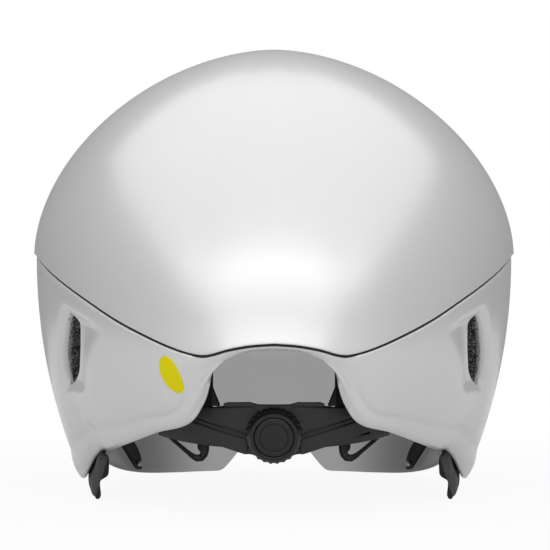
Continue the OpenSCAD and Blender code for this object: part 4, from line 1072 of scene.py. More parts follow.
def make_seam_shade_strip():
    """The dark strip in the joint between the shells."""
    s = np.linspace(-1, 1, LOW_COLS + 1)
    p = dome_point(seam_angle(np.abs(s)), 0 * s) * xyz(np.sign(s), 1, 1)
    out = unit(p * [1, 1, 0])
    drops = (SEAM_SHADE_INSET, LIP_GAP + SEAM_OPEN - SEAM_SHADE_INSET)
    faces = [np.array([p - d * out - [0, 0, h] for h in drops]) for d in SEAM_SHADE_DEPTHS]
    strip = slab("seam_gasket", *faces)
    dress(smooth(strip, 50), "rubber_black", "helmet")


def make_label():
    """A blank round film on the left of the lower shell."""
    s0, t0 = LABEL_SPOT
    middle = low_form(s0, t0)
    along_s = (low_form(s0 + FINE / 2, t0) - middle) * 2 / FINE
    along_t = (low_form(s0, t0 + FINE / 2) - middle) * 2 / FINE
    across = unit(along_s)
    rise = np.linalg.norm(along_t - (along_t @ across) * across)
    a = whole_turn(96)
    r = np.append(np.linspace(1, 0.1, 8), 0)[:, None]
    t = t0 + LABEL_R[1] * r * sind(a) / rise
    s = s0 + (LABEL_R[0] * r * cosd(a) - (t - t0) * (along_t @ across)) / np.linalg.norm(along_s)
    top = side_inset(-s, t, -relief(s, t) - LABEL_LIFT - LABEL_THICK)
    back = side_inset(-s, t, -relief(s, t) - LABEL_LIFT)
    label = bowl("label_film", top[:-1], back[:-1], top[-1, 0], back[-1, 0])
    rounded(label, 0.14, 2, 50)
    dress(smooth(label), "label_yellow", "helmet", "label_plate")


# Foam

# The crown's foam, with a skirt that hangs over the brow between two angles
FOAM_COLS, FOAM_ROWS = 144, 46
BROW_SKIRT, SKIRT_FROM, SKIRT_TO, FOAM_RISE = 15.0, 29.0, 42.0, 0.6
# The side foam: where it runs, how thick it is from top to foot, and its step behind the lens
SIDE_FROM, SIDE_TO, SIDE_END, LENS_SEAT, SIDE_THICK = 0.46, 1.14, 0.95, 6.4, 37.0
SIDE_THICK_SHARES = [(0, 1), (0.18, 0.95), (0.34, 0.62), (0.5, 0.30), (0.7, 0.2), (1, 0.17)]
SIDE_STEP = (0.985, 0.03)
VENT_FOAM_STEP, VENT_FOAM_DEEP = 0.6, 11.5
# The brow seal's span in degrees and its upper and lower edge under the shell's lip
SEAL_SPAN, SEAL_HIGH, SEAL_LOW = 45.0, 0.5, 10.0
# Where the cradle, its sockets and the strap anchors stand
CRADLE_Y, DIAL_Z, DIAL_TILT, CRADLE_R, CRADLE_WALL = 120.0, 38.5, 9.0, 72.0, 2.7
SOCKET = (13.0, 6.0, 36.0)
SOCKET_LOW, STEM_TURN, STEM_LEAN = 85.5, 27.8, 0.5
REAR_ANCHOR = (0.286, -0.633, 0.687)
FRONT_ANCHOR = (0.642, 0.207, 0.727)
ANCHOR_R, ANCHOR_THICK, ANCHOR_POCKET = 6.6, 3.0, 12.0


def foam_low(a):
    t = np.where(sind(a) > 0, turn(a) * 90, 0)
    drop = (BROW_SKIRT + FOAM_RISE) * ramp(t, SKIRT_FROM, SKIRT_TO - SKIRT_FROM)
    return seam(a, SEAM_SHARES) + FOAM_RISE - drop


def foam_outer_rows(a):
    """The foam's outer face: its foot, the row at the shell's lip, and the rows under the shell."""
    a = np.broadcast_to(a, (1, a.shape[-1]))
    zero = np.zeros_like(a)
    foot = dome_inset(a, zero, CROWN_WALL + LIP_STEP + SEAT_GAP)
    foot[..., 2] = foam_low(a)
    lip = dome_inset(a, zero, CROWN_WALL + SEAT_GAP)
    lip[..., 2] = np.maximum(lip[..., 2], dome_point(a, zero)[..., 2]) + FOAM_RISE + SEAT_GAP
    f = pole_rows(FOAM_ROWS)[1:, None]
    a2, f2 = np.broadcast_arrays(a, f)
    return np.concatenate([foot, lip, dome_inset(a2, f2, CROWN_WALL + SEAT_GAP)])


def cradle_matrix():
    return (Matrix.Translation((0, -CRADLE_Y, DIAL_Z)) @ about(DIAL_TILT, "X")
            @ Matrix.Translation((0, CRADLE_R, 0)))


def dial_matrix(h):
    return cradle_matrix() @ about(90, "X") @ Matrix.Translation((0, 0, h))


def stem_matrix():
    stand = CRADLE_R - CRADLE_WALL / 2
    arc_y = CRADLE_R * cosd(DIAL_TILT) - CRADLE_Y
    x = stand * sind(STEM_TURN)
    y = arc_y - stand * cosd(STEM_TURN) - STEM_LEAN
    return Matrix.Translation((x, y, 0)) @ about(STEM_TURN, "Z")


def block(name, size, low, high, stand):
    w, d = size
    outline = [(-w / 2, -d / 2), (w / 2, -d / 2), (w / 2, d / 2), (-w / 2, d / 2)]
    return prism(name, outline, low, high, stand)


def rod(name, radius, low, high, stand):
    a = whole_turn(48)
    return prism(name, np.stack([radius * cosd(a), radius * sind(a)], -1), low, high, stand)


def anchor_pocket(stand):
    """The tool for the seat of a strap's anchor in the foam."""
    return rod("anchor_tool", ANCHOR_R + SEAT_GAP, -ANCHOR_POCKET, ANCHOR_THICK + SEAT_GAP, stand)


def make_crown_foam():
    a = whole_turn(FOAM_COLS)[None, :]
    outer = foam_outer_rows(a)
    f = np.linspace(0, POLE_SHARE, FOAM_ROWS + 1)[:, None]
    start = foam_low(a)
    rise = hollow_height(start + 1, 0, f)
    inner = np.concatenate([hollow_point(a, start, 0), hollow_point(a, rise, 0)])
    top = (0, TOP_Y, TOP_Z - CROWN_WALL - SEAT_GAP)
    foam = bowl("crown_foam_core", outer, inner, top, (0, 0, HOLLOW_TOP))
    grow = 2 * SEAT_GAP
    width, depth, height = SOCKET
    tools = [slot_bar("slot_tool", INTAKE_W + grow, INTAKE_H + grow, 0, 2 * BROW_LEN,
                      INTAKE_ROUND + SEAT_GAP)]
    tools += with_mirror(block("socket_tool", (width + grow, depth + grow), SOCKET_LOW - height / 2,
                               SOCKET_LOW + height + SEAT_GAP, stem_matrix()))
    tools += with_mirror(anchor_pocket(Matrix.Translation(place(REAR_ANCHOR).tolist())))
    carved(foam, tools)
    dress(smooth(foam, 40), "foam_black", "helmet", "crown_foam")


def temple_matrix():
    a, t = np.array(TEMPLE[0]), lens_share(TEMPLE[0], TEMPLE[1])
    n = -normal_of(lens_point, a, np.array(t), NORMAL_TURN, FINE)
    return facing(lens_inset(a, t, LENS_WALL + SEAT_GAP / 2), n)


def make_side_foam():
    s = np.linspace(SIDE_FROM, SIDE_TO, 81)[None, :]
    t = np.linspace(0, SIDE_END, 29)[:, None]
    s, t = np.broadcast_arrays(s, t)
    depth = mix(low_wall(s, t) + SEAT_GAP, LENS_SEAT, ramp(s, *SIDE_STEP))
    outer = low_inset(s, t, depth)
    cx, cy = hollow_plan(seam_angle(s), 0)
    toward = np.stack([cx - outer[..., 0], cy - outer[..., 1], np.zeros_like(cx)], -1)
    reach = np.minimum(np.linalg.norm(toward, axis=-1), SIDE_THICK) * curve(SIDE_THICK_SHARES, t)
    right = slab("side_foam_core_right", outer, outer + unit(toward) * reach[..., None])
    stand = Matrix.Translation(place(FRONT_ANCHOR).tolist()) @ about(90, "Y")
    magnet_low = -ARM_THICK - MAGNET_THICK - 5 * SEAT_GAP
    carved(right, [
        vent_bar("vent_tool", -VENT_FOAM_STEP, VENT_FOAM_DEEP),
        anchor_pocket(stand),
        rod("magnet_tool", MAGNET_R + SEAT_GAP, magnet_low - SEAT_GAP, magnet_low + 4 * MAGNET_THICK,
            temple_matrix()),
    ])
    dress_pair(right, 40, "foam_black", "helmet", "side_foam")


def make_seal():
    a = np.linspace(90 - SEAL_SPAN, 90 + SEAL_SPAN, 61)[None, :]
    drop = np.linspace(SEAL_HIGH, SEAL_LOW, 7)[:, None]
    z = seam(a, SEAM_SHARES) - LIP_GAP - drop
    a = np.broadcast_to(a, z.shape)
    x, y = lens_plan(a, z)
    draw = 1 - (LENS_WALL + 2 * SEAT_GAP) / np.hypot(x, y)
    front = xyz(x * draw, y * draw, z)
    low, high = foam_outer_rows(a[:1])[:2]
    k = ((high[:, 2] - z) / (high[:, 2] - low[:, 2]))[..., None]
    back = mix(high, low, k)
    back[..., :2] += SEAT_GAP * unit(back[..., :2])
    back[..., 2] = z
    seal = slab("brow_seal_strip", front, back)
    rounded(seal, 0.35, 2, 50)
    dress(smooth(seal), "rubber_black", "helmet", "brow_seal")


# Visor

# The magnet's angle and height on the lens
TEMPLE = (16.0, 64.0)
# The magnet arm, from its low end in front to its wide end at the magnet; its ends are rounded.
ARM_THICK, MAGNET_R, MAGNET_THICK, MAGNET_FLOOR = 3.0, 4.5, 2.4, 0.5
ARM_LOW, ARM_HALF, ARM_END_HALF, ARM_END = (46.0, 5.5), 5.4, 8.3, (3.2, 3.0)
ARM_FOOT, ARM_BEND, ARM_WIDENS = 1.2, 0.92, (0.7, 0.2)
ARM_TIP, ARM_TIP_RUN, ARM_TIP_LEAST = 0.86, 0.15, 0.05
# How evenly the lens's points are spread; less crowds them over the nose.
NOSE_SHARE = 0.55


def make_lens():
    u = np.linspace(-1, 1, 181)[None, :]
    a = 90 + (90 - LENS_START) * (NOSE_SHARE * u + (1 - NOSE_SHARE) * u * np.abs(u))
    t = np.linspace(0, 1, 49)[:, None]
    a, t = np.broadcast_arrays(a, t)
    lens = slab("lens_smoked", lens_inset(a, t, 0), lens_inset(a, t, LENS_WALL))
    rounded(lens, 0.7, 3, 50)
    dress(smooth(lens), "lens_clear", "visor", "visor_lens")


def make_arms():
    u = np.linspace(0, 1, 81)[None, :]
    v = np.linspace(-1, 1, 13)[:, None]
    a = mix(ARM_LOW[0], TEMPLE[0] - ARM_END[0], u)
    z = mix(ARM_LOW[1], TEMPLE[1] + ARM_END[1], u**ARM_BEND)
    half = mix(ARM_HALF, ARM_END_HALF, ramp(u, *ARM_WIDENS))
    tip = np.maximum(0, np.abs(2 * u - 1) - ARM_TIP) / ARM_TIP_RUN
    half = half * np.sqrt(np.maximum(ARM_TIP_LEAST, 1 - tip**2))
    z = np.maximum(ARM_FOOT, z + v * half)
    a = np.broadcast_to(a, z.shape)
    t = lens_share(a, z)
    right = slab("magnet_arm_moulded_right", lens_inset(a, t, LENS_WALL + SEAT_GAP),
                 lens_inset(a, t, LENS_WALL + ARM_THICK))
    rounded(right, 0.45, 3, 50)
    carved(right, [rod("magnet_tool", MAGNET_R + SEAT_GAP / 2, -ARM_THICK - 1,
                       MAGNET_THICK + MAGNET_FLOOR - ARM_THICK, temple_matrix())])
    dress_pair(right, 35, "plastic_black", "visor", "magnet_arm")


# Ear flaps

# The flap runs forwards from one place to the other, spreads outwards and tapers in its front half.
FLAP_FROM, FLAP_TO, FLAP_SPREAD, FLAP_OPENS = -38.0, 6.0, 3.2, 1.4
FLAP_TAPER, FLAP_TAPER_POWER = 0.55, 2.4
FLAP_SHARES = [(0.7130, 0.2037), (0.7270, 0.1700), (0.7360, 0.1313), (0.7470, 0.0939), (0.7475, 0.0500),
               (0.7400, 0.0220), (0.7310, 0), (0.7200, 0), (0.7115, 0.0170), (0.7150, 0.0520),
               (0.7120, 0.0760), (0.6860, 0.0940), (0.6790, 0.1150), (0.6800, 0.1700), (0.6980, 0.1860)]


def make_flaps():
    h = np.linspace(0, 1, 45)[:, None]
    line = np.maximum(closed_line(FLAP_SHARES, 84), 0)
    y = mix(FLAP_FROM, FLAP_TO, h)
    out = FLAP_SPREAD * ease(h * FLAP_OPENS)
    end = 1 - FLAP_TAPER * np.maximum(0, 2 * h - 1) ** FLAP_TAPER_POWER
    high = FLAP_SHARES[0][1]
    x = HALF_W * line[None, :, 0] + out
    z = SEAM_Z * (high - (high - line[None, :, 1]) * end)
    right = skin("ear_flap_soft_right", xyz(x, y, z))
    rounded(right, 0.5, 3, 60)
    dress_pair(right, 50, "flap_grey", "helmet", "ear_flap")


# Liner and pads

# The liner's lower edge at the sides and in front, and the holes round its anchors and for air
LINER_SIDE_Z, LINER_FRONT_Z, LINER_FRONT = 97.0, 119.0, (0.55, 0.35)
ANCHOR_TURNS, ANCHOR_Z, ANCHOR_HOLE_R = (0, 90, 180, 270), 160.0, 7.2
AIR_TURNS, AIR_Z, AIR_R = (25, 155, 205, 335), 168.0, 7.0


def spot_normal(a, z):
    across = hollow_point(a + 1, z, 0) - hollow_point(a - 1, z, 0)
    up = hollow_point(a, z + 1, 0) - hollow_point(a, z - 1, 0)
    return unit(np.cross(across, up))


def spot_matrix(a, z):
    a, z = np.array(a), np.array(z)
    return facing(hollow_point(a, z, 0), spot_normal(a, z))


def make_liner():
    a = whole_turn(160)[None, :]
    low = mix(LINER_SIDE_Z, LINER_FRONT_Z, ramp(sind(a), *LINER_FRONT))
    f = np.linspace(FINE / 2, POLE_SHARE, 40)[:, None]

    def face(d):
        rise = hollow_height(np.maximum(HOLLOW_BASE, low), d, f)
        upright = hollow_point(a, mix(low, np.maximum(HOLLOW_BASE, low), 0.5), d)
        return np.concatenate([hollow_point(a, low, d), upright, hollow_point(a, rise, d)])

    liner = bowl("slip_liner_sheet", face(SLIP_GAP), face(SLIP_GAP + SLIP_WALL),
                 (0, 0, HOLLOW_TOP - SLIP_GAP), (0, 0, HOLLOW_TOP - SLIP_GAP - SLIP_WALL))
    tools = [rod("hole_tool", ANCHOR_HOLE_R, -15, 15, spot_matrix(t, ANCHOR_Z)) for t in ANCHOR_TURNS]
    tools += [rod("hole_tool", AIR_R, -14, 14, spot_matrix(t, AIR_Z)) for t in AIR_TURNS]
    carved(liner, tools)
    dress(smooth(liner), "liner_dark", "liner", "slip_liner")


# The pads: their place on the liner, their crowned form and the channels sewn into it
PAD_SEAT, PAD_EDGE, PAD_ROUND, CHANNEL, CHANNEL_SHARP = 0.85, 0.12, 3.2, 0.45, 4.5
ROOF_SEAT, ROOF_EDGE = 1.25, 0.99
CROWN_PAD_X, CROWN_PAD_Y = (14.0, 34.0), (-58.0, 58.0)
PAD_STEP, PIPING_R, PIPING_LIFT, STITCH_LIFT = 1.4, 0.75, 0.2, 0.25
# The cloth that the pads' covers are, how long it swells and how far it may
COVER = {"quality": 6, "mass": 0.15, "tension_stiffness": 12, "compression_stiffness": 12,
         "shear_stiffness": 8, "bending_stiffness": 0.3, "use_pressure": True,
         "uniform_pressure_force": 3.0, "shrink_min": -0.03, "vertex_group_mass": "held"}
SWELL_FRAMES, SWELL_MOST = 16, 1.1


def pillow(u):
    return np.sqrt(np.maximum(0, 1 - np.abs(2 * u - 1) ** PAD_ROUND))


def pad_height(u, v, n):
    quilt = 1 - CHANNEL * np.exp(-((np.sin(np.pi * u * n) * CHANNEL_SHARP) ** 2))
    return PAD_THICK * mix(PAD_EDGE, 1, pillow(u) * pillow(v)) * quilt


def wall_spot(a0, a1, z_range):
    """Places on the liner's inside wall, by two shares."""
    def at(u, v):
        a, z = mix(a0, a1, u), mix(z_range[0], z_range[1], v)
        return hollow_point(a, z, 0), spot_normal(a, z), SLIP_GAP + SLIP_WALL + PAD_SEAT
    return at


def hollow_roof(x, y):
    px, py = hollow_plan(np.degrees(np.arctan2(y, x)), 0)
    r = np.minimum(ROOF_EDGE, np.hypot(x, y) / np.hypot(px, py))
    return HOLLOW_BASE + (HOLLOW_TOP - HOLLOW_BASE) * (1 - r**HOLLOW_ROUND) ** (1 / HOLLOW_ROUND)


def roof_spot(side):
    """Places under the liner's roof, by two shares."""
    def at(u, v):
        x, y = mix(CROWN_PAD_X[0], CROWN_PAD_X[1], v), mix(CROWN_PAD_Y[0], CROWN_PAD_Y[1], u)
        n = unit(xyz(hollow_roof(x - 1, y) - hollow_roof(x + 1, y),
                     hollow_roof(x, y - 1) - hollow_roof(x, y + 1), 2.0 + 0 * x))
        flip = np.array([side, 1, 1])
        return xyz(x, y, hollow_roof(x, y)) * flip, n * flip, SLIP_GAP + SLIP_WALL + ROOF_SEAT
    return at


def puffed(obj, held):
    """Lets the cover swell between the points that are held, as stuffed cloth does."""
    start = np.empty(len(obj.data.vertices) * 3)
    obj.data.vertices.foreach_get("co", start)
    group = obj.vertex_groups.new(name="held")
    group.add([int(k) for k in held], 1.0, "REPLACE")
    cloth = obj.modifiers.new("Cloth", "CLOTH").settings
    for key, value in COVER.items():
        setattr(cloth, key, value)
    cloth.effector_weights.gravity = 0
    scene = bpy.context.scene
    for k in range(1, SWELL_FRAMES + 1):
        scene.frame_set(k)
    settle(obj)
    scene.frame_set(1)
    end = np.empty_like(start)
    obj.data.vertices.foreach_get("co", end)
    move = (end - start).reshape(-1, 3)
    length = np.linalg.norm(move, axis=1, keepdims=True)
    move *= np.minimum(1, SWELL_MOST * MM / np.maximum(length, 1e-9))
    obj.data.vertices.foreach_set("co", (start.reshape(-1, 3) + move).ravel())
    obj.vertex_groups.clear()


def make_pad(name, at, channels, node):
    """A quilted pad: its back lies on the liner, its face is crowned between sewn channels."""
    probe = np.linspace(0, 1, 21)
    run = np.linalg.norm(np.diff(at(probe, probe * 0 + 0.5)[0], axis=0), axis=1).sum()
    rise = np.linalg.norm(np.diff(at(probe * 0 + 0.5, probe)[0], axis=0), axis=1).sum()
    cols, rows = int(run / PAD_STEP), int(rise / PAD_STEP)
    u, v = np.meshgrid(np.linspace(0, 1, cols + 1), np.linspace(0, 1, rows + 1))
    p, n, seat = at(u, v)
    face = p - n * (seat + pad_height(u, v, channels))[..., None]
    back = p - n * seat
    uv = np.stack([u * run, v * rise], -1).reshape(-1, 2)
    pad = slab(name, back, face, uv)
    count = (rows + 1) * (cols + 1)
    sewn = np.abs(np.sin(np.pi * u * channels)) < 0.5 * np.pi * channels / cols
    rim = (u == 0) | (u == 1) | (v == 0) | (v == 1)
    held = np.concatenate([np.arange(count), count + np.flatnonzero((sewn | rim).ravel())])
    puffed(pad, held)
    dress(smooth(pad, 70), "pad_cloth", "liner", node)
    lines = []
    for k in range(1, channels):
        vv = np.linspace(0.12, 0.88, 24)
        uu = vv * 0 + k / channels
        q, m, seat = at(uu, vv)
        lines.append(q - m * (seat + pad_height(uu, vv, channels) + STITCH_LIFT)[:, None])
    return lines


def piping(name, at):
    """The bound edge round a pad."""
    k = np.linspace(0, 1, 26)[:-1]
    u = np.concatenate([k, k * 0 + 1, 1 - k, k * 0])
    v = np.concatenate([k * 0, k, k * 0 + 1, 1 - k])
    p, n, seat = at(u, v)
    line = p - n * (seat + 0.5 * PAD_THICK * PAD_EDGE + PIPING_LIFT)
    d = unit(np.roll(line, -1, 0) - np.roll(line, 1, 0))
    side = np.cross(d, n)
    a = whole_turn(8)
    ring = cosd(a)[:, None] * n[:, None] + sind(a)[:, None] * side[:, None]
    loops = line[:, None] + PIPING_R * ring
    count = len(line) * 8
    faces = [[k % count for k in quad] for quad in sheet_quads(len(line) + 1, 8, True)]
    return smooth(make_object(name, loops, faces), 60)


def make_pads():
    pads = {
        "brow_pad": (wall_spot(62, 118, (120, 138.5)), 4),
        "rear_pad": (wall_spot(246, 294, (100, 122)), 3),
        "side_pad_right": (wall_spot(-16, 22, (102, 128)), 2),
        "side_pad_left": (wall_spot(158, 196, (102, 128)), 2),
        "crown_pad_right": (roof_spot(1), 3),
        "crown_pad_left": (roof_spot(-1), 3),
    }
    lines, edges = [], []
    for node, (at, channels) in pads.items():
        lines += make_pad(node + "_quilted", at, channels, node)
        edges.append(piping(node + "_edge", at))
    dress(joined("pad_bindings", edges), "webbing", "liner")
    stitches("pad_stitches", lines, "liner", pitch=2.6, length=1.9, thread=0.45)


# The nape pads: their angles on the cradle's inside and their squared section
NAPE_TURNS, NAPE_SPAN, NAPE_HALF_THICK, NAPE_HALF_HIGH, NAPE_RISE = (6, 36), 17.0, 2.3, 7.0, 1.5
NAPE_SQUARE, NAPE_END, NAPE_DIMPLE, DIMPLE_SHARP = 0.7, 0.3, 0.3, 9
BAND_GAP, BAND_THICK, PLATE_WALL = 0.4, 1.8, 1.2
PLATE_IN_R = CRADLE_R - CRADLE_WALL - BAND_GAP - BAND_THICK - BAND_GAP - PLATE_WALL


def make_nape_pads():
    """Four soft pads on the cradle's inside."""
    u = np.linspace(0, 1, 37)[:, None]
    q = whole_turn(48)[None, :]
    full = mix(NAPE_END, 1, pillow(u))
    dimple = NAPE_DIMPLE * np.exp(-((u - 0.5) * DIMPLE_SHARP) ** 2)
    pads = []
    for start in NAPE_TURNS:
        a = u * NAPE_SPAN + start - 90
        r = PLATE_IN_R - SEAT_GAP + NAPE_HALF_THICK * (full * power(cosd(q), NAPE_SQUARE) - 1)
        r = r + dimple * np.maximum(0, -cosd(q))
        z = NAPE_RISE + NAPE_HALF_HIGH * full * power(sind(q), NAPE_SQUARE)
        pads.append(skin("nape_pad", moved(xyz(r * cosd(a), r * sind(a), z), cradle_matrix())))
    pads += [mirrored(p, "nape_pad") for p in list(pads)]
    pad = smooth(joined("nape_pads_soft", pads), 60)
    dress(pad, "pad_cloth", "cradle", "nape_pads")


# Straps

WEB_W, WEB_THICK = 12.0, 1.7
# Places as shares of the half width, tail length and seam height; a strap adds its width's direction.
DIVIDER = (0.619, -0.290, 0.499)
DIVIDER_SIZE = (3.8, 12.0, 18.0)
BUCKLE = (0, -0.053, 1.434)
BUCKLE_HALF = 17.0
REAR_STRAP = [((0.284, -0.645, 0.549), (0.42, 1, 0)), ((0.282, -0.645, 0.399), (0.42, 1, 0)),
              ((0.282, -0.645, 0.283), (0.42, 1, 0)), ((0.282, -0.645, 0.241), (0.42, 1, 0)),
              ((0.287, -0.643, 0.219), (0.3, 1, 0)), ((0.299, -0.638, 0.211), (0.2, 1, 0)),
              ((0.317, -0.630, 0.213), (0.1, 1, 0)), ((0.357, -0.600, 0.236), (0.1, 1, 0)),
              ((0.404, -0.557, 0.272), (0.05, 1, 0)), ((0.452, -0.510, 0.322), (0, 1, -0.1)),
              ((0.509, -0.443, 0.385), (0, 0.7, -0.7)), ((0.570, -0.390, 0.449), (0.1, 0, -1))]
FRONT_STRAP = [((0.632, 0.196, 0.680), (0, 0.95, -0.3)), ((0.632, 0.133, 0.615), (0, 0.74, -0.67)),
               ((0.634, 0.020, 0.560), (0, 0.4, -0.9)), ((0.628, -0.120, 0.515), (0, 0.15, -1))]
CHIN_STRAP = [((0.606, -0.267, 0.675), (0, 1, 0)), ((0.589, -0.227, 0.760), (0, 1, 0)),
              ((0.571, -0.173, 0.881), (0, 1, 0)), ((0.531, -0.120, 1.064), (0, 1, 0)),
              ((0.456, -0.080, 1.230), (0, 1, 0)), ((0.340, -0.060, 1.355), (0, 1, 0)),
              ((0.224, -0.053, 1.417), (0, 1, 0))]
# Half width of a box of stitches, and how far it stands off the webbing
TACK_HALF, TACK_LIFT = 4, 0.1
# Section of the webbing, as shares of its half width and half thickness
WEB_LOWER = [(-1, -0.35), (-0.97, -0.8), (-0.9, -1), (-0.3, -0.96)]
WEB_LOWER += [(-x, y) for x, y in WEB_LOWER[::-1]]
WEB_SECTION = WEB_LOWER + [(-x, -y) for x, y in WEB_LOWER]


def web(name, rows, count, tack):
    """One strap along rows of place and width's direction, and the lines of stitches of its tack."""
    path = np.array([[*spot, *side] for spot, side in rows], float)
    section = np.array(WEB_SECTION) * [WEB_W / 2, WEB_THICK / 2]
    obj, p, w, n = sweep(name, path, section, count, 1 / WEB_W)
    w = TACK_HALF * w
    lines = []
    i, j = (int(share * (count - 1)) for share in tack)
    for face in (1, -1):
        lift = n * face * (WEB_THICK / 2 + TACK_LIFT)
        box = ((i, 1), (j, 1), (j, -1), (i, -1), (i, 1))
        corners = [p[k] + side * w[k] + lift[k] for k, side in box]
        lines += [np.array(corners), np.array(corners[:3:2])]
    return obj, lines


def make_straps():
    rear, front = place(REAR_ANCHOR), place(FRONT_ANCHOR)
    divider, buckle = place(DIVIDER), place(BUCKLE)
    half = WEB_W / 2

    def placed(rows):
        return [(place(p), d) for p, d in rows]

    start = rear - [0, 0, SEAT_GAP]
    stop = divider - [0, DIVIDER_SIZE[1] / 2 + SEAT_GAP, 0]
    rear_rows = [(start, (0.42, 1, 0)), (start - [0, 0, half], (0.42, 1, 0)), *placed(REAR_STRAP),
                 (stop - [0, half, 0], (0, 0, -1)), (stop, (0, 0, -1))]
    start = front - [SEAT_GAP + WEB_THICK / 2, 0, 0]
    stop = divider + [0, DIVIDER_SIZE[1] / 2 + SEAT_GAP, 0]
    front_rows = [(start + [0, 0, half], (0, 1, 0)), (start, (0, 1, 0)), *placed(FRONT_STRAP),
                  (stop + [0, half, 0], (0, 0, -1)), (stop, (0, 0, -1))]
    start = divider + [0, 0, DIVIDER_SIZE[2] / 2 + SEAT_GAP]
    stop = buckle + [BUCKLE_HALF + SEAT_GAP, 0, 0]
    chin_rows = [(start, (0, 1, 0)), (start + [0, 0, half], (0, 1, 0)), *placed(CHIN_STRAP),
                 (stop + [half, 0, 0], (0, 1, 0)), (stop, (0, 1, 0))]
    lines = []
    for name, rows, count, tack in (("rear_strap", rear_rows, 110, (0.04, 0.1)),
                                    ("front_strap", front_rows, 50, (0.06, 0.16))):
        right, found = web(name + "_web_right", rows, count, tack)
        dress_pair(right, 50, "webbing", "helmet", name)
        lines += found
    right, found = web("chin_strap_web", chin_rows, 90, (0.88, 0.96))
    lines += found
    chin = joined("chin_strap_woven", [right, mirrored(right, "chin_strap_web_left")])
    dress(smooth(chin, 50), "webbing", "helmet", "chin_strap")
    lines += [line * [-1, 1, 1] for line in list(lines)]
    stitches("strap_tacks", lines, "helmet", pitch=1.5, length=1.2, thread=0.35)


# Dial

# The dial's knob, cap and ring of ribs
KNOB_DEEP, BOSS_PROUD = 8.6, 2.0
DIAL_BASE = CRADLE_R + BOSS_PROUD + BAND_GAP
CAP_R, CAP_DEEP = 9.3, 1.9
RIB_RING, RIB_HEIGHT = 12.45, 3.5


def make_dial():
    """Ribbed knob and its turned cap."""
    bowl_r, bowl_deep, bore = 10.6, 5.0, 3.0
    face = KNOB_DEEP
    profile = [(0, 5.1), (bore, 5.1), (bore, bowl_deep), (bowl_r, bowl_deep), (bowl_r, 0.25),
               (bowl_r + 0.25, 0), (12.3, 0), (12.75, 0.35), (12.95, 1.0), (12.95, 5.6), (12.6, 6.5),
               (12.2, 6.9), (11.75, 8.15), (11.45, face - 0.05), (11.1, face), (9.95, face),
               (9.72, face - 0.2), (9.5, face - 0.45), (9.5, face - 2.0), (bore, face - 2.0),
               (bore, 5.3), (0, 5.3)]
    knob = lathe("dial_knob_body", profile, dial_matrix(DIAL_BASE), 156)
    ribs = linked("dial_ribs", bpy.data.meshes.new("dial_ribs"))
    rib = pellet("rib", 2.4, 2.1, 6.2, 12, 7)
    copies_tree("ribs").run(ribs, Count=bpy.context.scene.helmet_look.rib_count, Radius=RIB_RING * MM,
                            Piece=rib, Material=finishes()["dial_black"])
    bpy.data.objects.remove(rib)
    stand = dial_matrix(DIAL_BASE + RIB_HEIGHT)
    stand.translation *= MM
    ribs.data.transform(stand)
    knob = joined("dial_knob_ribbed", [knob, ribs])
    dress(smooth(knob, 32), "dial_black", "dial", "dial_knob")
    h = CAP_DEEP
    cap = [(0, 0.5), (3.4, 0.5), (3.4, 0), (9.15, 0), (CAP_R, 0.15), (CAP_R, h - 0.45),
           (CAP_R - 0.12, h - 0.2), (CAP_R - 0.4, h), (7.1, h), (6.95, h - 0.08), (6.8, h - 0.42),
           (6.55, h - 0.42), (6.4, h - 0.1), (6.15, h), (4.6, h - 0.02), (3.4, h - 0.12),
           (2.2, h - 0.34), (1.1, h - 0.5), (0, h - 0.55)]
    made = lathe("dial_cap_turned", cap, dial_matrix(DIAL_BASE + KNOB_DEEP - CAP_DEEP), 128)
    dress(smooth(made, 28), "dial_black", "dial", "dial_cap")


# Cradle's outside

# Plates raised on the left half: places across, then the heights of the lower and upper edge, how far
# they stand up and how deep they are rooted.
CRADLE_PLATES = {
    "panel": ([-52, -37.3, -30, -29, -14.6, -11.4, -7.5], [8.2, 5.6, 4.1, 3.9, 1.0, 1.0, 1.0],
              [9.4, 10.3, 10.7, 10.9, 12.1, 12.2, 10.8], 0.7, 0.5),
    "ridge": ([-53, -37.3, -14.2], [6.6, 3.9, -1.5], [7.4, 4.7, -0.6], 0.6, 0.5),
    "foot": ([-52, -50, -38.8, -30, -14, -12.5], [-0.6, -1.8, -4.0, -6.3, -10.7, -10.7],
             [5.7, 5.4, 3.0, 0.8, -3.4, -3.4], 0.7, 0.5),
    "rail": ([-23.8, -22, -11.4, -8.6], [12.0, 12.1, 13.0, 12.9], [13.4, 14.1, 14.7, 14.0], 0.9, 0.5),
    "gusset": ([-29.8, -26.4], [11.6, 11.6], [20.5, 12.4], 0.0, 2.2),
}


def make_cradle_relief():
    """Raised plates on the cradle's wings, with grooves left between them."""
    parts = []
    for name, (xs, lows, highs, rise, root) in CRADLE_PLATES.items():
        x = np.linspace(xs[0], xs[-1], 49)[None, :]
        z = mix(np.interp(x, xs, lows), np.interp(x, xs, highs), np.linspace(0, 1, 9)[:, None])
        a = np.degrees(np.arcsin(x / CRADLE_R)) + 0 * z
        faces = [moved(xyz(r * sind(a), -r * cosd(a), z), cradle_matrix())
                 for r in (CRADLE_R + rise, CRADLE_R - root)]
        left = rounded(slab("cradle_" + name, *faces), 0.22, 2, 50)
        parts += [left, mirrored(left, left.name + "_right")]
    dress(smooth(joined("cradle_relief", parts), 40), "plastic_black", "cradle")


# Carried-over nodes

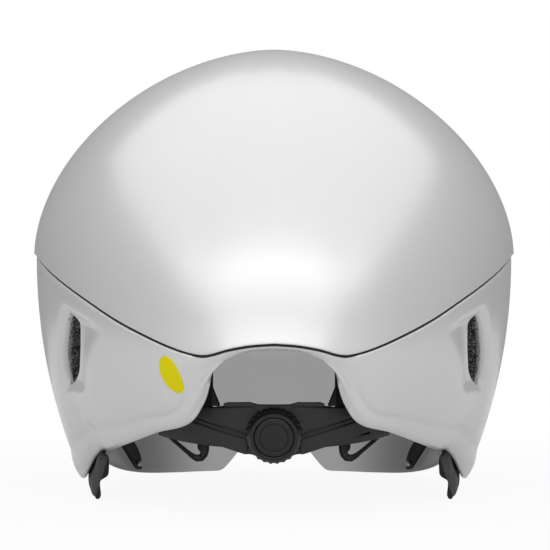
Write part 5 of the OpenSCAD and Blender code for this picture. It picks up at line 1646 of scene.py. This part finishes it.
SOFTENED = {
    "cradle_yoke": ("plastic_black", "cradle", 0.15),
    "cradle_plate": ("plastic_black", "cradle", 0.25),
    "band_left": ("plastic_black", "left_band", 0.12),
    "band_right": ("plastic_black", "right_band", 0.12),
    "intake_grille": ("plastic_black", "helmet", 0.2),
    "buckle_socket": ("plastic_black", "helmet", 0.7),
    "buckle_prongs": ("plastic_black", "helmet", 0.7),
    "strap_dividers": ("plastic_black", "helmet", 0.9),
    "height_sockets": ("plastic_black", "helmet", 0.3),
    "strap_anchors": ("plastic_black", "helmet", 0.4),
    "liner_anchors": ("rubber_black", "helmet", 0.3),
    "helmet_magnets": ("steel", "helmet", 0.25),
    "visor_magnets": ("steel", "visor", 0.25),
    "arm_screws": ("steel", "visor", 0.2),
}
REPAINTED = {"ratchet_ring": "plastic_black", "pinion": "plastic_black", "pawl_spring": "steel",
             "dial_screw": "steel"}


def make_fittings():
    for node, (slot, body, width) in SOFTENED.items():
        dress(softened(node, node + "_rounded", width), slot, body, node)
    for node, slot in REPAINTED.items():
        repaint(node, slot)


# Studio


# Place, aim and size of each softbox, in metres
SOFTBOXES = {"softbox_behind": ((0, -2.4, 1.5), (0, 0, 0.12), (4.0, 1.8)),
             "softbox_top": ((0, -0.2, 1.9), (0, 0, 0.1), (4.2, 4.2))}
# Share of the white backdrop that a gloss mirrors; the rest of it is screened off.
IN_GLOSS = 0.3
FLOOR_R, FLOOR_Z, FLOOR_TONE, FLOOR_FADE = 700.0, -0.3, 0.8, (0.12, 0.6)


def make_softbox(name, watts):
    at, aim, size = SOFTBOXES[name]
    data = bpy.data.lights.new(name, "AREA")
    data.shape = "RECTANGLE"
    data.size, data.size_y = size
    data.energy = watts
    obj = linked(name, data)
    obj.location = at
    obj.visible_camera = False
    obj.rotation_euler = (Vector(aim) - Vector(at)).to_track_quat("-Z", "Y").to_euler()


def seen_directly(f):
    """1 for rays that show the background, from the camera or through glass, and less in a gloss."""
    path = f.node("ShaderNodeLightPath")
    total = 0
    for ray, share in (("Is Camera Ray", 1), ("Is Transmission Ray", 1), ("Is Glossy Ray", IN_GLOSS)):
        total = path.math("MAXIMUM", path.output(ray) * share, total)
    return total


def make_world(look):
    world = bpy.data.worlds.new("studio_white")
    bpy.context.scene.world = world
    world.use_nodes = True
    f = Nodes(world.node_tree)
    light, shown = (f.node("ShaderNodeBackground", (), {"Color": grey(1), "Strength": level})
                    for level in (look.ambient, 1.0))
    blend = f.node("ShaderNodeMixShader", (), {0: seen_directly(f), 1: light, 2: shown})
    f.node("ShaderNodeOutputWorld", (), {"Surface": blend})


def make_floor(look):
    """A pale floor that fades into the backdrop and keeps the helmet's shadow."""
    a = whole_turn(96)
    floor = make_object("studio_floor", xyz(FLOOR_R * cosd(a), FLOOR_R * sind(a), FLOOR_Z),
                        [list(range(len(a)))])
    material = bpy.data.materials.new("floor_paper")
    material.use_nodes = True
    f = Nodes(material.node_tree)
    matt = f.node("ShaderNodeBsdfDiffuse", (), {"Color": grey(FLOOR_TONE)})
    glow = f.node("ShaderNodeEmission", (), {"Color": grey(1)})
    spot = f.node("ShaderNodeTexCoord", output="Object")
    away = f.node("ShaderNodeVectorMath", {"operation": "LENGTH"}, {0: spot}, "Value")
    fade = f.node("ShaderNodeMapRange", {"interpolation_type": "SMOOTHSTEP"},
                  {"Value": away, "From Min": FLOOR_FADE[0], "From Max": FLOOR_FADE[1],
                   "To Min": look.floor_white})
    blend = f.node("ShaderNodeMixShader", (), {0: seen_directly(f) * fade, 1: matt, 2: glow})
    f.node("ShaderNodeOutputMaterial", (), {"Surface": blend})
    floor.data.materials.append(material)


def make_camera(look):
    data = bpy.data.cameras.new("studio_camera")
    camera = linked("studio_camera", data)
    bpy.context.scene.camera = camera
    data.sensor_width = 36
    data.lens = look.focal_length
    data.shift_x = look.camera_shift
    data.clip_end = 60
    e = look.camera_rise
    camera.location = (0, -look.camera_distance * math.cos(e),
                       look.camera_aim + look.camera_distance * math.sin(e))
    camera.rotation_euler = (math.pi / 2 - e, 0, 0)


# Add-on


class HelmetLook(bpy.types.PropertyGroup):
    shell_colour: FloatVectorProperty(
        name="Shell", description="Lacquer of both shells", subtype="COLOR", size=3, min=0, max=1,
        default=(0.82, 0.82, 0.82))
    label_colour: FloatVectorProperty(
        name="Label", description="Film of the blank label", subtype="COLOR", size=3, min=0, max=1,
        default=(1.0, 0.88, 0.002))
    lens_colour: FloatVectorProperty(
        name="Lens", description="Tint of the visor", subtype="COLOR", size=3, min=0, max=1,
        default=(0.03, 0.03, 0.031))
    lens_density: FloatProperty(
        name="Lens density", description="How much the middle of the lens covers",
        default=0.45, min=0, max=1)
    # Painted shade: how much the lens's sides cover, more than its middle, for the longer slanted path
    # through them
    lens_sides: FloatProperty(
        name="Side shade", description="How much the sides of the lens cover",
        default=0.68, min=0, max=1)
    cloth_colour: FloatVectorProperty(
        name="Pads", description="Cover of the pads", subtype="COLOR", size=3, min=0, max=1,
        default=(0.055, 0.056, 0.06))
    plastic_tone: FloatProperty(
        name="Cradle tone", description="Grey of the moulded cradle", default=0.024, min=0, max=1)
    dial_tone: FloatProperty(
        name="Dial tone", description="Grey of the dial", default=0.008, min=0, max=1)
    rib_count: IntProperty(
        name="Dial ribs", description="Ribs round the dial", default=26, min=8, max=60)
    camera_distance: FloatProperty(
        name="Camera distance", description="From the camera to the helmet", default=2.0, unit="LENGTH")
    camera_rise: FloatProperty(
        name="Camera rise", description="Angle of the camera above the horizon",
        default=math.radians(1.6), subtype="ANGLE")
    camera_aim: FloatProperty(
        name="Aim height", description="Height that the camera looks at", default=0.110, unit="LENGTH")
    focal_length: FloatProperty(
        name="Focal length", description="Lens of the camera", default=259.66, unit="CAMERA")
    camera_shift: FloatProperty(
        name="Sideways shift", description="Share of the picture that the camera is shifted by",
        default=1 / 550)
    ambient: FloatProperty(name="Ambient", description="Light from all round", default=0.04, min=0)
    floor_white: FloatProperty(
        name="Floor white", description="How far the floor hides its shading",
        default=0.93, min=0, max=1)
    key_power: FloatProperty(
        name="Key light", description="Softbox behind the camera", default=33, unit="POWER")
    top_power: FloatProperty(name="Top light", description="Canopy overhead", default=54, unit="POWER")


class HELMET_OT_studio(bpy.types.Operator):
    """Make the camera, floor, backdrop and softboxes"""
    bl_idname = "helmet.studio"
    bl_label = "Studio"

    def execute(self, context):
        look = context.scene.helmet_look
        context.scene.view_settings.view_transform = "Standard"
        make_camera(look)
        make_world(look)
        make_floor(look)
        make_softbox("softbox_behind", look.key_power)
        make_softbox("softbox_top", look.top_power)
        return {"FINISHED"}


def piece_operator(idname, label, text, makers):
    """An operator class that makes one piece or a group of like pieces."""
    def execute(self, context):
        for maker in makers:
            maker()
        return {"FINISHED"}

    name = "HELMET_OT_" + idname
    return type(name, (bpy.types.Operator,), {"__doc__": text, "bl_idname": "helmet." + idname,
                                              "bl_label": label, "execute": execute})


PIECES = [
    piece_operator("shells", "Shells", "Make the crown shell, the lower shell and the label",
                   (make_crown, make_lower, make_seam_shade_strip, make_label)),
    piece_operator("foam", "Foam", "Make the crown's and the sides' foam and the brow seal",
                   (make_crown_foam, make_side_foam, make_seal)),
    piece_operator("visor", "Visor", "Make the lens and its magnet arms", (make_lens, make_arms)),
    piece_operator("flaps", "Ear flaps", "Make the soft flaps inside the ear covers", (make_flaps,)),
    piece_operator("liner", "Slip liner", "Make the low-friction liner", (make_liner,)),
    piece_operator("pads", "Pads", "Make the quilted pads and the cradle's soft pads",
                   (make_pads, make_nape_pads)),
    piece_operator("straps", "Straps", "Make the webbing and its stitches", (make_straps,)),
    piece_operator("dial", "Dial", "Make the knob, its cap and the cradle's raised plates",
                   (make_dial, make_cradle_relief)),
    piece_operator("fittings", "Fittings", "Round and finish the moulded and metal fittings",
                   (make_fittings,)),
]


class HELMET_PT_panel(bpy.types.Panel):
    """The helmet's pieces and settings"""
    bl_label = "Helmet"
    bl_idname = "HELMET_PT_panel"
    bl_space_type = "VIEW_3D"
    bl_region_type = "UI"
    bl_category = "Helmet"

    def draw(self, context):
        look = context.scene.helmet_look
        for key in HelmetLook.__annotations__:
            self.layout.prop(look, key)
        for operator in (HELMET_OT_studio, *PIECES):
            self.layout.operator(operator.bl_idname)


CLASSES = (HelmetLook, HELMET_OT_studio, *PIECES, HELMET_PT_panel)


def register():
    for c in CLASSES:
        bpy.utils.register_class(c)
    bpy.types.Scene.helmet_look = PointerProperty(type=HelmetLook)


def unregister():
    del bpy.types.Scene.helmet_look
    for c in reversed(CLASSES):
        bpy.utils.unregister_class(c)


def main():
    register()
    bpy.ops.helmet.studio()
    bpy.ops.helmet.shells()
    bpy.ops.helmet.foam()
    bpy.ops.helmet.visor()
    bpy.ops.helmet.flaps()
    bpy.ops.helmet.liner()
    bpy.ops.helmet.pads()
    bpy.ops.helmet.straps()
    bpy.ops.helmet.dial()
    bpy.ops.helmet.fittings()


if __name__ == "__main__":
    main()
